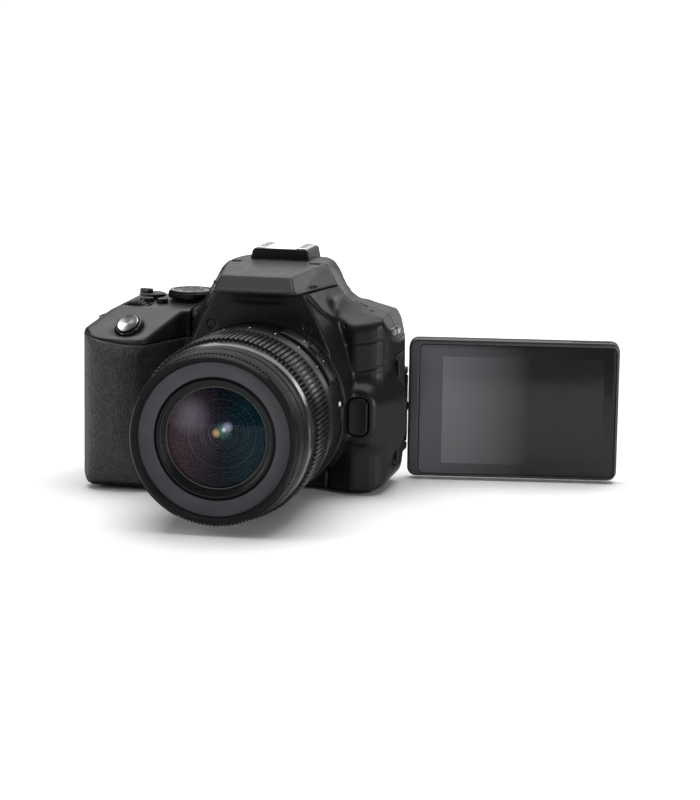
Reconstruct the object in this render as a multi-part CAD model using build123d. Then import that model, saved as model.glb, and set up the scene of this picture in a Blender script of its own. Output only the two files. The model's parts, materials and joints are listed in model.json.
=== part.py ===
"""Digital single-lens reflex camera with a zoom lens and a swivelling rear screen.

Frame, in millimetres: the lens looks along -Y, +Z is up and +X is the side the screen opens to.
X = 0 is the plane of the lens axis, Y = 0 the plane of the image sensor, and Z = 0 the flat base,
so the origin is the middle of the tripod socket's mouth. Every function makes one sub-part.
"""
import os
from math import cos, sin, radians

from build123d import *

# ---- camera body -------------------------------------------------------------------------
BODY_LEFT, BODY_RIGHT = -71.4, 51.2       # grip side and hinge side
BACK_Y = 8.0                              # wall behind the closed screen
THUMB_Y = 12.5                            # raised rear wall of the grip side
TOP_Z = 70.6                              # top deck on the grip side
HUMP_Z = 88.3                             # top of the finder hump
WALL = 2.2                                # cover thickness
AXIS_Z = 34.65                            # height of the lens axis
FLANGE_Y = -44.0                          # face the lens seats on
RUN = 0.35                                # clearance between parts that move past each other

# ---- rear screen -------------------------------------------------------------------------
HINGE_X, HINGE_Y = 45.5, 12.2             # upright axis the screen swings about
HINGE_R = 2.6
SCREEN_W, SCREEN_H, SCREEN_T = 83.5, 55.5, 7.5
SCREEN_Z = 28.75                          # height of the tilt axis and of the screen's middle
SCREEN_GAP = 3.0                          # from the upright axis to the screen's edge
OPEN_ANGLE = 8.0                          # direction of the opened screen, from +X towards +Y

# ---- flash, dials and buttons ------------------------------------------------------------
FLASH_HINGE_Y, FLASH_HINGE_Z = -15.0, 86.4
FLASH_BARREL_R = 2.2
FLASH_FLOOR = 79.3
SHOE_FRONT, SHOE_BACK = -7.0, 11.0
SHUTTER_AT = (-52.6, -38.2, 63.6)
SHUTTER_AXIS = (-0.20, -0.63, 0.75)
SHUTTER_R = 4.6
MODE_AT, MODE_R = (-36.5, -4.0), 9.6
DIAL_AT, DIAL_R = (-55.1, -19.0, 63.4), 7.6
RELEASE_AT = (37.2, 31.6)
PAD_AT = (-56.5, 23.5)
POWER_AT, POWER_R = (-53.0, -3.6), 5.4
DIOPTER_AT, DIOPTER_R = (22.8, 6.6, 77.0), 3.6
SHOE_SEAT = 86.6
SOCKET_R = 3.175                          # quarter-inch tripod screw
MOUNT_SEAT = -41.1                        # back of the mount ring
PIN_X = 29.6                              # lens lock pin, level with the lens axis
TERMINAL_AXIS = (49.9, -18.2)
DOOR_X, DOOR_Y, DOOR_HINGE_Z = (-64.2, -41.4), (-38.2, -5.3), 1.5

# ---- lens --------------------------------------------------------------------------------
BARREL_R, ZOOM_R, FRONT_R = 33.5, 34.2, 30.3
BARREL_END, RIB_BACK, RIB_FRONT = -60.6, -69.5, -92.0
FOCUS_BACK, RIM_Y = -102.4, -112.6
THREAD_R, THREAD_END = 28.7, -109.8       # 58 mm accessory thread
GLASS_R = 18.4
RIBS = 116
SWITCH_ANGLE, SWITCH_R = 44.0, 35.2


# ---- shape helpers -----------------------------------------------------------------------
def box(x0, x1, y0, y1, z0, z1):
    """Block between two corners."""
    return Pos((x0 + x1) / 2, (y0 + y1) / 2, (z0 + z1) / 2) * Box(x1 - x0, y1 - y0, z1 - z0)


def face(points, radius=0.0):
    """Flat closed outline with rounded corners."""
    wire = FilletPolyline(*points, radius=radius, close=True) if radius else Polyline(*points, close=True)
    return make_face(wire)


def along_z(points, z0, z1, radius=0.0):
    """Outline in X and Y, carried from z0 to z1."""
    return Pos(0, 0, z0) * extrude(face(points, radius), z1 - z0)


def along_y(points, y0, y1, radius=0.0):
    """Outline in X and Z, carried from y0 to y1."""
    return Pos(0, y1, 0) * extrude(Plane.XZ * face(points, radius), y1 - y0)


def along_x(points, x0, x1, radius=0.0):
    """Outline in Y and Z, carried from x0 to x1."""
    return Pos(x0, 0, 0) * extrude(Plane.YZ * face(points, radius), x1 - x0)


def behind(point, normal):
    """Everything on the inner side of a sloping face."""
    return Plane(origin=point, z_dir=normal) * box(-100, 100, -100, 100, -200, 0)


def rod(start, direction, radius, length):
    """Round bar from a point along a direction."""
    return Plane(origin=start, z_dir=direction) * Pos(0, 0, length / 2) * Cylinder(radius, length)


def disc(radius, y0, y1, x=0.0, z=AXIS_Z):
    """Round bar along Y, on the lens axis unless told otherwise."""
    return rod((x, y0, z), (0, 1, 0), radius, y1 - y0)


def ring(outer, inner, y0, y1):
    """Plain ring about the lens axis."""
    return disc(outer, y0, y1) - disc(inner, y0 - 1, y1 + 1)


def post(radius, x, y, z0, z1):
    """Upright round bar."""
    return rod((x, y, z0), (0, 0, 1), radius, z1 - z0)


def turned(points):
    """Outline of (radius, y) turned about the lens axis."""
    profile = Pos(0, 0, AXIS_Z) * make_face(Polyline(*points, close=True))
    return revolve(profile, Axis((0, 0, AXIS_Z), (0, 1, 0)), 360)


def around_lens(shape, count, start=0.0):
    """Copies of a shape turned about the lens axis."""
    axis = Axis((0, 0, AXIS_Z), (0, 1, 0))
    return [shape.rotate(axis, start + 360 * i / count) for i in range(count)]


def joined(shapes):
    """One part made of several shapes."""
    total = shapes[0]
    for shape in shapes[1:]:
        total = total + shape
    return total


# ---- outside of the body -----------------------------------------------------------------
PLAN = [(-69.5, 9.5), (BODY_LEFT, -6), (BODY_LEFT, -38), (-65, -48.5), (-54, -50.4), (-45, -47.5),
        (-39, -36), (-34, -27), (-20, -24), (20, -24), (34, -30), (45, -25.5), (50.4, -19),
        (BODY_RIGHT, -11), (49.2, 0), (46.6, 6.9), (40.2, 6.9), (39.6, BACK_Y), (-40, BACK_Y), (-60, 9.5)]
FRONT_VIEW = [(-67, 0), (BODY_LEFT, 5), (BODY_LEFT, 61), (-58.5, 72.4), (-30, 76), (30, 76), (36, 71.6),
              (44.5, 69), (49.6, 59), (BODY_RIGHT, 44), (BODY_RIGHT, 14), (47.5, 3.2), (41, 0)]
GRIP_SIDE = [(14, 0), (14, 66), (9, TOP_Z), (-27, 69.2), (-46, 58.8), (-50.4, 51), (-49.6, 18), (-45, 3),
             (-40, 0)]
HINGE_SIDE = [(BACK_Y, 0), (BACK_Y, 67), (4, 72.6), (-12, 73), (-24, 69.5), (-36, 61), (-36, 0)]
HUMP_FACES = [((13.8, -47.6, 85.8), (0.873, -0.175, 0.454)),      # flanks that lean in towards the flash
              ((13.8, -51.4, 79.3), (0.592, -0.600, -0.536)),     # hooked lip under the flash
              ((19.1, 0, 88.1), (0.576, 0, 0.818)),               # shoulders of the top
              ((23, 0, 81.9), (0.853, 0.170, 0.494)),             # flanks behind the shoe
              ((22, 10, 70), (0.6, 0.8, 0))]                      # back corners
HUMP_SIDE = [(10.5, 58), (13, 61), (13, 82), (9, 87.8), (-6, HUMP_Z), (-47.6, 86.2),
             (-52.3, 80.2), (-51.4, FLASH_FLOOR), (-41, FLASH_FLOOR), (-30, 64)]
NOSE_FRONT = [(-30, 45), (-16.8, 78.6), (16.8, 78.6), (30, 45)]
GRIP_HOLLOW = [(-67, 5.8), (-67, -42), (-45.2, -42), (-41.4, -34.6), (-36.4, -25.6), (-36, 5.8)]


def body_outline():
    """Outside of the closed body, as one solid that the covers are cut from."""
    sides = joined([along_x(GRIP_SIDE, -75, -24, 2.5), box(-24, 24, -30, BACK_Y, 0, 75),
                    along_x(HINGE_SIDE, 24, 55, 2.5)])
    hull = along_z(PLAN, 0, 80, 1.2) & along_y(FRONT_VIEW, -60, 20, 2.0)
    hull = hull & sides
    hump = along_x(HUMP_SIDE, -36, 36, 0.5)
    for (x, y, z), (nx, ny, nz) in HUMP_FACES:
        hump = hump & behind((x, y, z), (nx, ny, nz)) & behind((-x, y, z), (-nx, ny, nz))
    nose = disc(34.4, -42, -20) + along_y(NOSE_FRONT, -41.6, -20)
    thumb = [(-69.5, 6), (-69.5, 9.5), (-66.5, THUMB_Y), (-43, THUMB_Y), (-41.8, 11.5), (-41.8, 6)]
    thumb = along_z(thumb, 1.5, 66)
    thumb = thumb & along_x(GRIP_SIDE, -75, -24) & along_y(FRONT_VIEW, -60, 20, 2.0)
    strip = box(-43, 42, 5, 9.2, 58.2, 69)
    return joined([hull, thumb, strip, nose, hump])


def body_hollow():
    """Space inside the covers."""
    main = box(-30, 45, -23, BACK_Y - WALL, WALL, 68)
    grip = along_z(GRIP_HOLLOW, WALL, 56)
    front = disc(30.4, -39.8, -20)
    finder = box(-19, 19, -33, 6.5, 60, 76.8)
    return joined([main, grip, front, finder])


def flash_space():
    """Room that the flash head takes out of the hump."""
    lid = box(-40, 40, -60, FLASH_HINGE_Y, FLASH_FLOOR, 95)
    reach = FLASH_BARREL_R + RUN
    barrel = rod((-28, FLASH_HINGE_Y, FLASH_HINGE_Z), (1, 0, 0), reach, 56)
    return lid + barrel + box(-28, 28, FLASH_HINGE_Y, FLASH_HINGE_Y + reach, FLASH_HINGE_Z, 95)


OUTSIDE = body_outline()
SHUTTER = Plane(origin=SHUTTER_AT, z_dir=SHUTTER_AXIS)
FRONT_ZONE = box(-80, 60, -60, -14, 3, 60) + box(-30, 30, -60, -14, 59, FLASH_FLOOR)


def covers():
    """Front, rear, top and bottom covers, all cut from the one outline."""
    shell = OUTSIDE - body_hollow() - flash_space()
    front = shell & FRONT_ZONE
    top = (shell & box(-80, 60, -60, 20, 60, 95)) - FRONT_ZONE
    rear = shell & box(-80, 60, -14, 20, 3, 60)
    bottom = shell & box(-80, 60, -60, 20, -1, 3)
    return front, rear, top, bottom


FRONT_COVER, REAR_COVER, TOP_COVER, BOTTOM_COVER = covers()
CORE_PLAN = [(-69.9, 9.5), (-69.9, -38), (-64.4, -47.2), (-54, -49.1), (-46, -46.5), (-40.2, -35.6),
             (-36, -27), (-36, 9.5)]
CORE_SIDE = [(14, -1), (14, 70), (-30, 70), (-46, 59), (-49.1, 51), (-48.4, 18), (-44, 2), (-40, -1)]


def grip_rubber():
    """Moulded rubber skin wrapped round the grip."""
    core = along_z(CORE_PLAN, 0, 80, 1.0) & along_x(CORE_SIDE, -75, -24, 2.0)
    return (OUTSIDE & box(-80, -37, -60, 2, 4, 59.5)) - core


GRIP_RUBBER = grip_rubber()

def release_boss():
    """Rounded housing that the release button sits in."""
    outline = [(31, 21), (43.6, 21), (43.6, 42.2), (31, 42.2)]
    return along_y(outline, -33.4, -24, 4.0)


REAR_BUTTONS = {                           # name: (x, z, radius, y of the wall it sits in)
    "menu_button": (35.0, 63.6, 2.4, 9.2),
    "info_button": (27.0, 63.6, 2.4, 9.2),
    "live_view_button": (-29.5, 63.6, 2.8, 9.2),
    "playback_button": (-48.5, 7.6, 2.2, THUMB_Y),
    "erase_button": (-63.0, 7.6, 2.2, THUMB_Y),
    "lock_button": (-50.6, 57.5, 2.4, THUMB_Y),
    "focus_point_button": (-60.0, 57.5, 2.4, THUMB_Y),
}
TOP_BUTTONS = {                            # name: (x, y, radius)
    "iso_button": (-46.2, -13.6, 2.2),
    "display_button": (-52.4, -12.6, 2.2),
}


def rear_button(x, z, radius, wall_y):
    """Round push button with its stem, facing backwards."""
    cap = disc(radius, wall_y - 1.0, wall_y + 0.9, x, z)
    return cap + disc(1.0, wall_y - 3.4, wall_y - 1.0, x, z)


def rear_button_hole(x, z, radius, wall_y):
    """Pocket and stem hole of a rear button."""
    pocket = disc(radius + RUN, wall_y - 2.2, wall_y + 5, x, z)
    return pocket + disc(1.35, wall_y - 9, wall_y, x, z)


def top_button(x, y, radius):
    """Round push button with its stem, facing up."""
    return post(radius, x, y, TOP_Z - 1.2, TOP_Z + 0.8) + post(1.0, x, y, TOP_Z - 3.4, TOP_Z - 1.2)


def top_button_hole(x, y, radius):
    """Pocket and stem hole of a top button."""
    return post(radius + RUN, x, y, TOP_Z - 2.4, TOP_Z + 5) + post(1.35, x, y, TOP_Z - 9, TOP_Z)


# ---- covers with their openings ----------------------------------------------------------
def front_cover():
    """Front shell with the lens opening, the release housing and the nameplate recess."""
    part = FRONT_COVER + (release_boss() - body_hollow())
    part = part - GRIP_RUBBER - disc(28.9, -43, -19) - ring(32.9, 28.0, -43, MOUNT_SEAT)
    part = part - release_space() - disc(1.3, -45, -20, PIN_X)
    part = part - box(PIN_X - 1, 42, -34, -21, AXIS_Z - 2, AXIS_Z + 2)
    return part - terminal_space(RUN) - nameplate_recess() - grip_controls_space()


def grip_controls_space():
    """Pockets of the main dial and the shutter button."""
    dial = dial_rod(DIAL_R + 0.55, 7.2) + dial_rod(1.06, 12)
    return dial + SHUTTER * Pos(0, 0, 2.5) * Cylinder(SHUTTER_R + RUN, 8) + SHUTTER * Cylinder(1.6, 16)


def rear_cover():
    """Rear shell with the screen's recess, the finder window and the button pockets."""
    part = REAR_COVER - GRIP_RUBBER - terminal_space(RUN)
    for x, z, radius, wall_y in REAR_BUTTONS.values():
        part = part - rear_button_hole(x, z, radius, wall_y)
    part = part - disc(9.6 + RUN, THUMB_Y - 2.6, THUMB_Y + 5, *PAD_AT) - disc(2.4, 0, THUMB_Y, *PAD_AT)
    return part - thumb_rest() - hinge_neck_space()


def top_cover():
    """Top shell with the hump, the hot shoe's seat and the seats of the dials."""
    part = TOP_COVER - GRIP_RUBBER
    for x, y, radius in TOP_BUTTONS.values():
        part = part - top_button_hole(x, y, radius)
    for name in ("menu_button", "info_button", "live_view_button", "lock_button", "focus_point_button"):
        part = part - rear_button_hole(*REAR_BUTTONS[name])
    part = part - post(MODE_R + RUN, *MODE_AT, TOP_Z, 90) - post(3.0, *MODE_AT, 50, TOP_Z + 1)
    part = part - post(POWER_R + RUN, *POWER_AT, TOP_Z, 90) - post(2.4, *POWER_AT, 50, TOP_Z + 1)
    part = part - grip_controls_space()
    part = part - box(-11.4, 11.4, SHOE_FRONT - 1.6, SHOE_BACK + 1, SHOE_SEAT, 95)
    part = part - box(-12.4, 12.4, 2, 20, 64.0, 80.0) - diopter_space()
    for side in (-1, 1):
        inner, outer = sorted((side * 14, side * 17.2))
        part = part + box(inner, outer, FLASH_HINGE_Y - 2.1, FLASH_HINGE_Y + 3, FLASH_FLOOR + 0.05,
                          FLASH_HINGE_Z)
        part = part + rod((inner, FLASH_HINGE_Y, FLASH_HINGE_Z), (1, 0, 0), 2.1, outer - inner)
    part = part - rod((-17.4, FLASH_HINGE_Y, FLASH_HINGE_Z), (1, 0, 0), 0.93, 34.8)
    return part - lug_blocks()


def bottom_cover():
    """Base plate with the battery opening and the seat of the tripod socket."""
    opening = box(DOOR_X[0] - 1.7, DOOR_X[1] + RUN, DOOR_Y[0] - RUN, DOOR_Y[1] + RUN, -1, 4)
    opening = opening + ring(32.9, 28.0, -43, MOUNT_SEAT)
    return BOTTOM_COVER - GRIP_RUBBER - opening - post(7.0, 0, 0, -1, 4)


def nameplate_recess():
    """Shallow slanted recess, left blank, beside the lens release."""
    place = Plane(origin=(38.6, -28.6, 52.2), x_dir=(0.93, 0.36, 0), z_dir=(0.36, -0.93, 0))
    return place * Box(13.4, 11.2, 1.2)


def terminal_space(gap):
    """Space in the hinge-side wall for the terminal cover."""
    return box(48.2 - gap, 60, TERMINAL_AXIS[1] - 0.8 - gap, -3.5 + gap, 10 - gap, 54 + gap)


def terminal_cover():
    """Flexible cover over the sockets, hinged at its front edge."""
    leaf = OUTSIDE & box(48.2, 60, TERMINAL_AXIS[1], -3.5, 10, 54)
    return leaf + rod((*TERMINAL_AXIS, 12), (0, 0, 1), 0.7, 40)


def thumb_rest():
    """Rubber pad under the thumb."""
    outline = [(-68.5, 44), (-53.5, 44), (-52.5, 52.5), (-68.5, 52.5)]
    return along_y(outline, THUMB_Y - 1.2, THUMB_Y + 1.6, 2.0) & along_z(
        [(-69, 11.2), (-69, 12.0), (-64, 14.0), (-57, 13.8), (-52, 12.4), (-52, 11.2)], 40, 56)


def hinge_neck_space():
    """Clearance round the screen hinge's bracket."""
    return box(42.6, 48.4, 2.6, 20, 11.2, 14.4) + box(42.6, 48.4, 2.6, 20, 41.6, 44.8)


# ---- grip side: battery, card, door ------------------------------------------------------
def battery():
    """Slab battery pack with its contact recess, standing in the grip."""
    return box(-62.5, -48.5, -38.1, -5.4, 4.4, 49.9) - box(-60, -51, -28, -18, 48.9, 51)


def memory_card():
    """Memory card with one cut corner, beside the battery."""
    outline = [(-36, 6), (-12, 6), (-12, 38), (-32, 38), (-36, 34)]
    return along_x(outline, -44.6, -42.5)


def battery_door():
    """Door under the grip, hinged on its outer edge, with the catch's recess."""
    leaf = box(*DOOR_X, *DOOR_Y, 0.15, 2.85)
    leaf = leaf + rod((DOOR_X[0], DOOR_Y[0], DOOR_HINGE_Z), (0, 1, 0), 1.35, DOOR_Y[1] - DOOR_Y[0])
    return leaf - box(-47.2, -42.4, -26.4, -17.6, -1, 2.0)


def battery_latch():
    """Sliding catch let into the door, with a finger ridge."""
    return box(-46.9, -43.9, -26.0, -18.0, 0.7, 1.9) + box(-45.7, -45.0, -25.0, -19.0, 0.2, 0.7)


# ---- inside ------------------------------------------------------------------------------
def tripod_socket():
    """Threaded bush in the base, with a flange inside the cover."""
    flange = post(9.0, 0, 0, 3.0, 8.0) & box(-10, 10, -10, BACK_Y - WALL - 0.1, 0, 10)
    bush = post(6.9, 0, 0, 0, 3.0) + flange
    return bush - post(SOCKET_R, 0, 0, -1, 6.5)


def mirror_box():
    """Chassis between the lens mount and the shutter."""
    outer = box(-21, 21, -39.6, -6.2, 13.5, 55.8)
    inner = box(-17, 17, -41, -5, 18.5, 51.5) + box(-14, 14, -34, -10, 51, 60)
    return outer - inner - disc(26.8, -41, -38.2)


def mirror():
    """Main mirror at 45 degrees on its carrier."""
    plate = box(-14.5, 14.5, -29.0, 0.0, -0.9, 0.9)
    tilted = Pos(0, -10.6, 49.0) * Rot(45, 0, 0) * plate
    return tilted + rod((-16.6, -10.6, 49.0), (1, 0, 0), 1.3, 33.2)


def pentamirror():
    """Roof-shaped reflecting housing of the finder."""
    outline = [(-33, 60.5), (-9, 60.5), (-5, 66), (-5, 74), (-12, 76.4), (-26, 76.4), (-33, 68)]
    roof = along_x(outline, -15, 15)
    inside = [(-31, 60), (-11, 60), (-7.5, 66), (-7.5, 72.5), (-13, 74.6), (-25, 74.6), (-31, 67)]
    return roof - along_x(inside, -13, 13)


def shutter_unit():
    """Focal-plane shutter frame with its curtain blades."""
    frame = box(-20, 20, -5.8, -2.6, 17, 53) - box(-12.4, 12.4, -7, -1, 26.4, 42.9)
    blades = [box(-12.3, 12.3, -4.6 + 0.1 * i, -4.55 + 0.1 * i, 26.5 + 4.1 * i, 30.6 + 4.1 * i)
              for i in range(4)]
    return joined([frame] + [blade + box(-12.4, -12.2, -4.6, -4.2, 26.4, 42.9) for blade in blades])


def image_sensor():
    """Sensor package on its plate, with the cover glass at the image plane."""
    package = box(-15, 15, -1.6, 0.6, 22.5, 46.8)
    carrier = box(-18, 18, 0.6, 1.6, 19, 50)
    window = box(-11.2, 11.2, -2.2, -1.6, 27.2, 42.1)
    return package + carrier + window


def main_board():
    """Main circuit board with its processor and connectors."""
    board = box(-28, 40, 3.0, 4.4, 8, 56)
    chips = [box(-20, -6, 2.0, 3.0, 12, 17), box(24, 36, 2.0, 3.0, 36, 48), box(24, 34, 1.6, 3.0, 14, 26)]
    return joined([board] + chips)


# ---- finder and hot shoe -----------------------------------------------------------------
def eyepiece():
    """Finder window lens."""
    return box(-9.8, 9.8, 4.2, 9.0, 66.4, 78.0)


def eyecup():
    """Rubber cup around the finder window."""
    outer = along_y([(-17, 61.8), (17, 61.8), (17, 82.4), (-17, 82.4)], 13.1, 17.8, 4.5)
    neck = along_y([(-12.0, 64.4), (12.0, 64.4), (12.0, 79.6), (-12.0, 79.6)], 9.2, 13.2, 2.0)
    return outer + neck - along_y([(-9.9, 66.3), (9.9, 66.3), (9.9, 78.1), (-9.9, 78.1)], 5, 20, 2.0)


def diopter_space():
    """Slot for the diopter wheel."""
    x, y, z = DIOPTER_AT
    return rod((x - RUN, y, z), (1, 0, 0), DIOPTER_R + RUN, 9) + rod((x - 5.4, y, z), (1, 0, 0), 1.35, 6)


def diopter_dial():
    """Knurled wheel that sets the finder's focus."""
    x, y, z = DIOPTER_AT
    wheel = rod((x, y, z), (1, 0, 0), DIOPTER_R, 3.2)
    for i in range(18):
        a = radians(20 * i)
        reach = DIOPTER_R + 0.15
        wheel = wheel - rod((x - 0.1, y + reach * cos(a), z + reach * sin(a)), (1, 0, 0), 0.32, 4.0)
    return wheel + rod((x - 3.8, y, z), (1, 0, 0), 1.0, 3.8)


def hot_shoe_base():
    """Insulating block of the hot shoe, with its contact pads."""
    block = box(-11.2, 11.2, SHOE_FRONT - 1.4, SHOE_BACK + 0.8, SHOE_SEAT, 88.2)
    pads = [(0, 2.0, 1.7), (-3.9, -1.6, 1.0), (3.9, -1.6, 1.0), (-3.9, 4.6, 1.0), (3.9, 4.6, 1.0)]
    return joined([block] + [post(r, x, y, 88.0, 89.25) for x, y, r in pads])


def hot_shoe():
    """Bent metal rails that an accessory foot slides under."""
    floor = box(-10.3, 10.3, SHOE_FRONT, SHOE_BACK, 88.2, 89.1)
    walls = [box(x, x + 0.95, SHOE_FRONT, SHOE_BACK, 88.2, 92.6) for x in (-10.3, 9.35)]
    lips = [box(x, x + 4.1, SHOE_FRONT, SHOE_BACK, 91.2, 92.6) for x in (-10.3, 6.2)]
    part = joined([floor] + walls + lips)
    for x, y, r in ((0, 2.0, 2.1), (-3.9, -1.6, 1.4), (3.9, -1.6, 1.4), (-3.9, 4.6, 1.4), (3.9, 4.6, 1.4)):
        part = part - post(r, x, y, 87, 90)
    return part


# ---- flash -------------------------------------------------------------------------------
def flash_head():
    """Pop-up flash housing with its window opening underneath and its lift nubs."""
    head = OUTSIDE & box(-40, 40, -60, FLASH_HINGE_Y, FLASH_FLOOR + RUN, 95)
    barrel = rod((-28, FLASH_HINGE_Y, FLASH_HINGE_Z), (1, 0, 0), FLASH_BARREL_R, 56) & OUTSIDE
    head = head + barrel - rod((-20, FLASH_HINGE_Y, FLASH_HINGE_Z), (1, 0, 0), 0.96, 40)
    for side in (-1, 1):
        inner, outer = sorted((side * 13.6, side * 17.6))
        head = head - box(inner, outer, FLASH_HINGE_Y - 2.6, FLASH_HINGE_Y + 5, 70, 95)
    head = head - box(-13, 13, -40, -20, FLASH_FLOOR, 84.5) - box(-12.2, 12.2, -50.2, -43.8, 79, 81.4)
    nubs = [rod((side * 19.0 - 0.8, -33.5, 81.4), (1, 0, 0), 1.2, 1.6) for side in (-1, 1)]
    return joined([head] + nubs)


def flash_window():
    """Ribbed clear window under the nose of the head, which faces ahead when the head is up."""
    pane = box(-12.1, 12.1, -50.1, -43.9, 80.1, 81.0)
    ribs = [box(-11.6, 11.6, -49.6 + 0.9 * i, -49.2 + 0.9 * i, 79.8, 80.1) for i in range(7)]
    return joined([pane] + ribs)


def flash_pin():
    """Hinge pin of the flash head."""
    return rod((-17.0, FLASH_HINGE_Y, FLASH_HINGE_Z), (1, 0, 0), 0.9, 34.0)


# ---- top controls ------------------------------------------------------------------------
def shutter_button():
    """Two-stage release button with a dished cap and a guide stem."""
    cap = SHUTTER * Pos(0, 0, 1.4) * Cylinder(SHUTTER_R, 2.0)
    dish = SHUTTER * Pos(0, 0, 41.9) * Sphere(40.0)
    return cap - dish + SHUTTER * Pos(0, 0, -2.0) * Cylinder(1.2, 5.2)


def dial_rod(radius, length):
    """Round bar on the main dial's axis, centred on the dial."""
    x, y, z = DIAL_AT
    return rod((x, y - length / 2, z), (0, 1, 0), radius, length)


def main_dial():
    """Serrated wheel behind the release button, on its fore-and-aft axle."""
    wheel = dial_rod(DIAL_R, 6.0)
    x, y, z = DIAL_AT
    for i in range(36):
        a = radians(10 * i)
        reach = DIAL_R + 0.1
        wheel = wheel - rod((x + reach * cos(a), y - 4, z + reach * sin(a)), (0, 1, 0), 0.36, 8.0)
    return wheel + dial_rod(1.0, 11)


def mode_dial():
    """Mode dial with a knurled rim, on its stem."""
    x, y = MODE_AT
    dial = post(MODE_R, x, y, TOP_Z + RUN, TOP_Z + 3.7)
    for i in range(48):
        a = radians(7.5 * i)
        reach = MODE_R + 0.1
        dial = dial - post(0.34, x + reach * cos(a), y + reach * sin(a), TOP_Z, TOP_Z + 2.9)
    return dial + post(2.6, x, y, TOP_Z - 6.0, TOP_Z + 1.2)


def power_lever():
    """Power lever, a round cap with a thumb tab, on its stem."""
    x, y = POWER_AT
    cap = post(POWER_R, x, y, TOP_Z + RUN, TOP_Z + 1.6) + post(2.0, x, y, TOP_Z - 5.0, TOP_Z + 1.0)
    tab = along_z([(-1.6, 1.0), (1.6, 1.0), (1.2, 5.2), (-1.2, 5.2)], TOP_Z + 1.2, TOP_Z + 3.0, 0.5)
    return cap + Pos(x, y, 0) * Rot(0, 0, 70) * tab


# ---- rear controls -----------------------------------------------------------------------
def cross_pad():
    """Four-way pad around the set button."""
    pad = disc(9.6, THUMB_Y - 0.8, THUMB_Y + 1.3, *PAD_AT) - disc(4.3, THUMB_Y - 2, THUMB_Y + 3, *PAD_AT)
    pad = pad + disc(9.0, THUMB_Y - 1.2, THUMB_Y - 0.8, *PAD_AT)
    return pad - disc(4.3, THUMB_Y - 2, THUMB_Y + 3, *PAD_AT)


def set_button():
    """Round button in the middle of the pad."""
    return disc(3.95, THUMB_Y - 0.8, THUMB_Y + 1.1, *PAD_AT) + disc(2.0, THUMB_Y - 4.2, THUMB_Y - 0.8, *PAD_AT)


# ---- lens mount and release --------------------------------------------------------------
def mount_ring():
    """Metal bayonet ring of the body."""
    plate = ring(32.6, 28.6, FLANGE_Y, MOUNT_SEAT)
    claw = ring(28.8, 27.0, -44.0, -42.6) & box(-12, 12, -60, 0, AXIS_Z, 90)
    part = joined([plate] + around_lens(claw, 3, 30))
    for angle in (45, 135, 225, 315):
        part = part - screw_at(angle, 0.05)
    return part - disc(1.3, -45, -40, PIN_X)


def screw_at(angle, gap=0.0):
    """Countersunk screw of the mount ring."""
    x, z = 30.6 * cos(radians(angle)), AXIS_Z + 30.6 * sin(radians(angle))
    return disc(1.3 + gap, -44.0 - gap, -43.0, x, z) + disc(0.7 + gap, -43.0, -41.1, x, z)


def mount_screws():
    """The four screws of the mount ring."""
    shapes = [screw_at(angle) - box(-60, 60, -60, -43.9, -10, 90) for angle in (45, 135, 225, 315)]
    return joined(shapes)


def release_outline(grow):
    """Outline of the release button, in X and Z."""
    x, z = RELEASE_AT
    half_w, half_h = 3.8 + grow, 7.1 + grow
    return [(x - half_w, z - half_h), (x + half_w, z - half_h), (x + half_w, z + half_h),
            (x - half_w, z + half_h)]


def release_space():
    """Pocket of the release button."""
    return along_y(release_outline(RUN), -45, -20, 3.0)


def lens_release():
    """Push button that frees the lens, hollowed for a fingertip."""
    cap = along_y(release_outline(0.0), -35.0, -30.5, 2.6)
    return cap - rod((RELEASE_AT[0], -64.4, RELEASE_AT[1] - 20), (0, 0, 1), 30.0, 40)


def lock_pin():
    """Spring pin that locks the lens, with the arm that the release button moves."""
    return disc(1.0, -44.9, -31.0, PIN_X) + box(PIN_X - 0.6, 33.0, -31.6, -30.4, AXIS_Z - 1.4, AXIS_Z + 1.4)


# ---- strap lugs --------------------------------------------------------------------------
def lug_blocks():
    """Outline of the two strap lugs."""
    return box(45.6, 49.6, -21, -13, 61.6, 64.4) + box(-70.6, -66.6, -21, -13, 61.6, 64.4)


def strap_lugs():
    """Two metal eyelets for the strap."""
    slots = box(47.8, 48.9, -20, -14, 60, 66) + box(-69.9, -68.8, -20, -14, 60, 66)
    return lug_blocks() - slots


# ---- screen ------------------------------------------------------------------------------
SCREEN = Plane(origin=(HINGE_X, HINGE_Y, SCREEN_Z),
               x_dir=(cos(radians(OPEN_ANGLE)), sin(radians(OPEN_ANGLE)), 0),
               z_dir=(sin(radians(OPEN_ANGLE)), -cos(radians(OPEN_ANGLE)), 0))


def panel(u0, u1, v0, v1, n0, n1, radius=0.0):
    """Block of the opened screen: u along its width, v up, n towards its glass."""
    outline = [(u0, v0), (u1, v0), (u1, v1), (u0, v1)]
    return SCREEN * Pos(0, 0, n0) * extrude(face(outline, radius), n1 - n0)


U0, U1 = SCREEN_GAP, SCREEN_GAP + SCREEN_W
V1 = SCREEN_H / 2
HALF = SCREEN_T / 2
GLASS_T = 0.9


def tilt_rod(radius, u0, u1):
    """Round bar along the tilt axis."""
    dx, dy = cos(radians(OPEN_ANGLE)), sin(radians(OPEN_ANGLE))
    return rod((HINGE_X + u0 * dx, HINGE_Y + u0 * dy, SCREEN_Z), (dx, dy, 0), radius, u1 - u0)


def shaft_space():
    """Bore of the tilt shaft and the pocket of its friction disc."""
    return tilt_rod(1.95, U0 - 1, U0 + 13) + tilt_rod(2.9, U0 + 5.6, U0 + 8.0)


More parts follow.
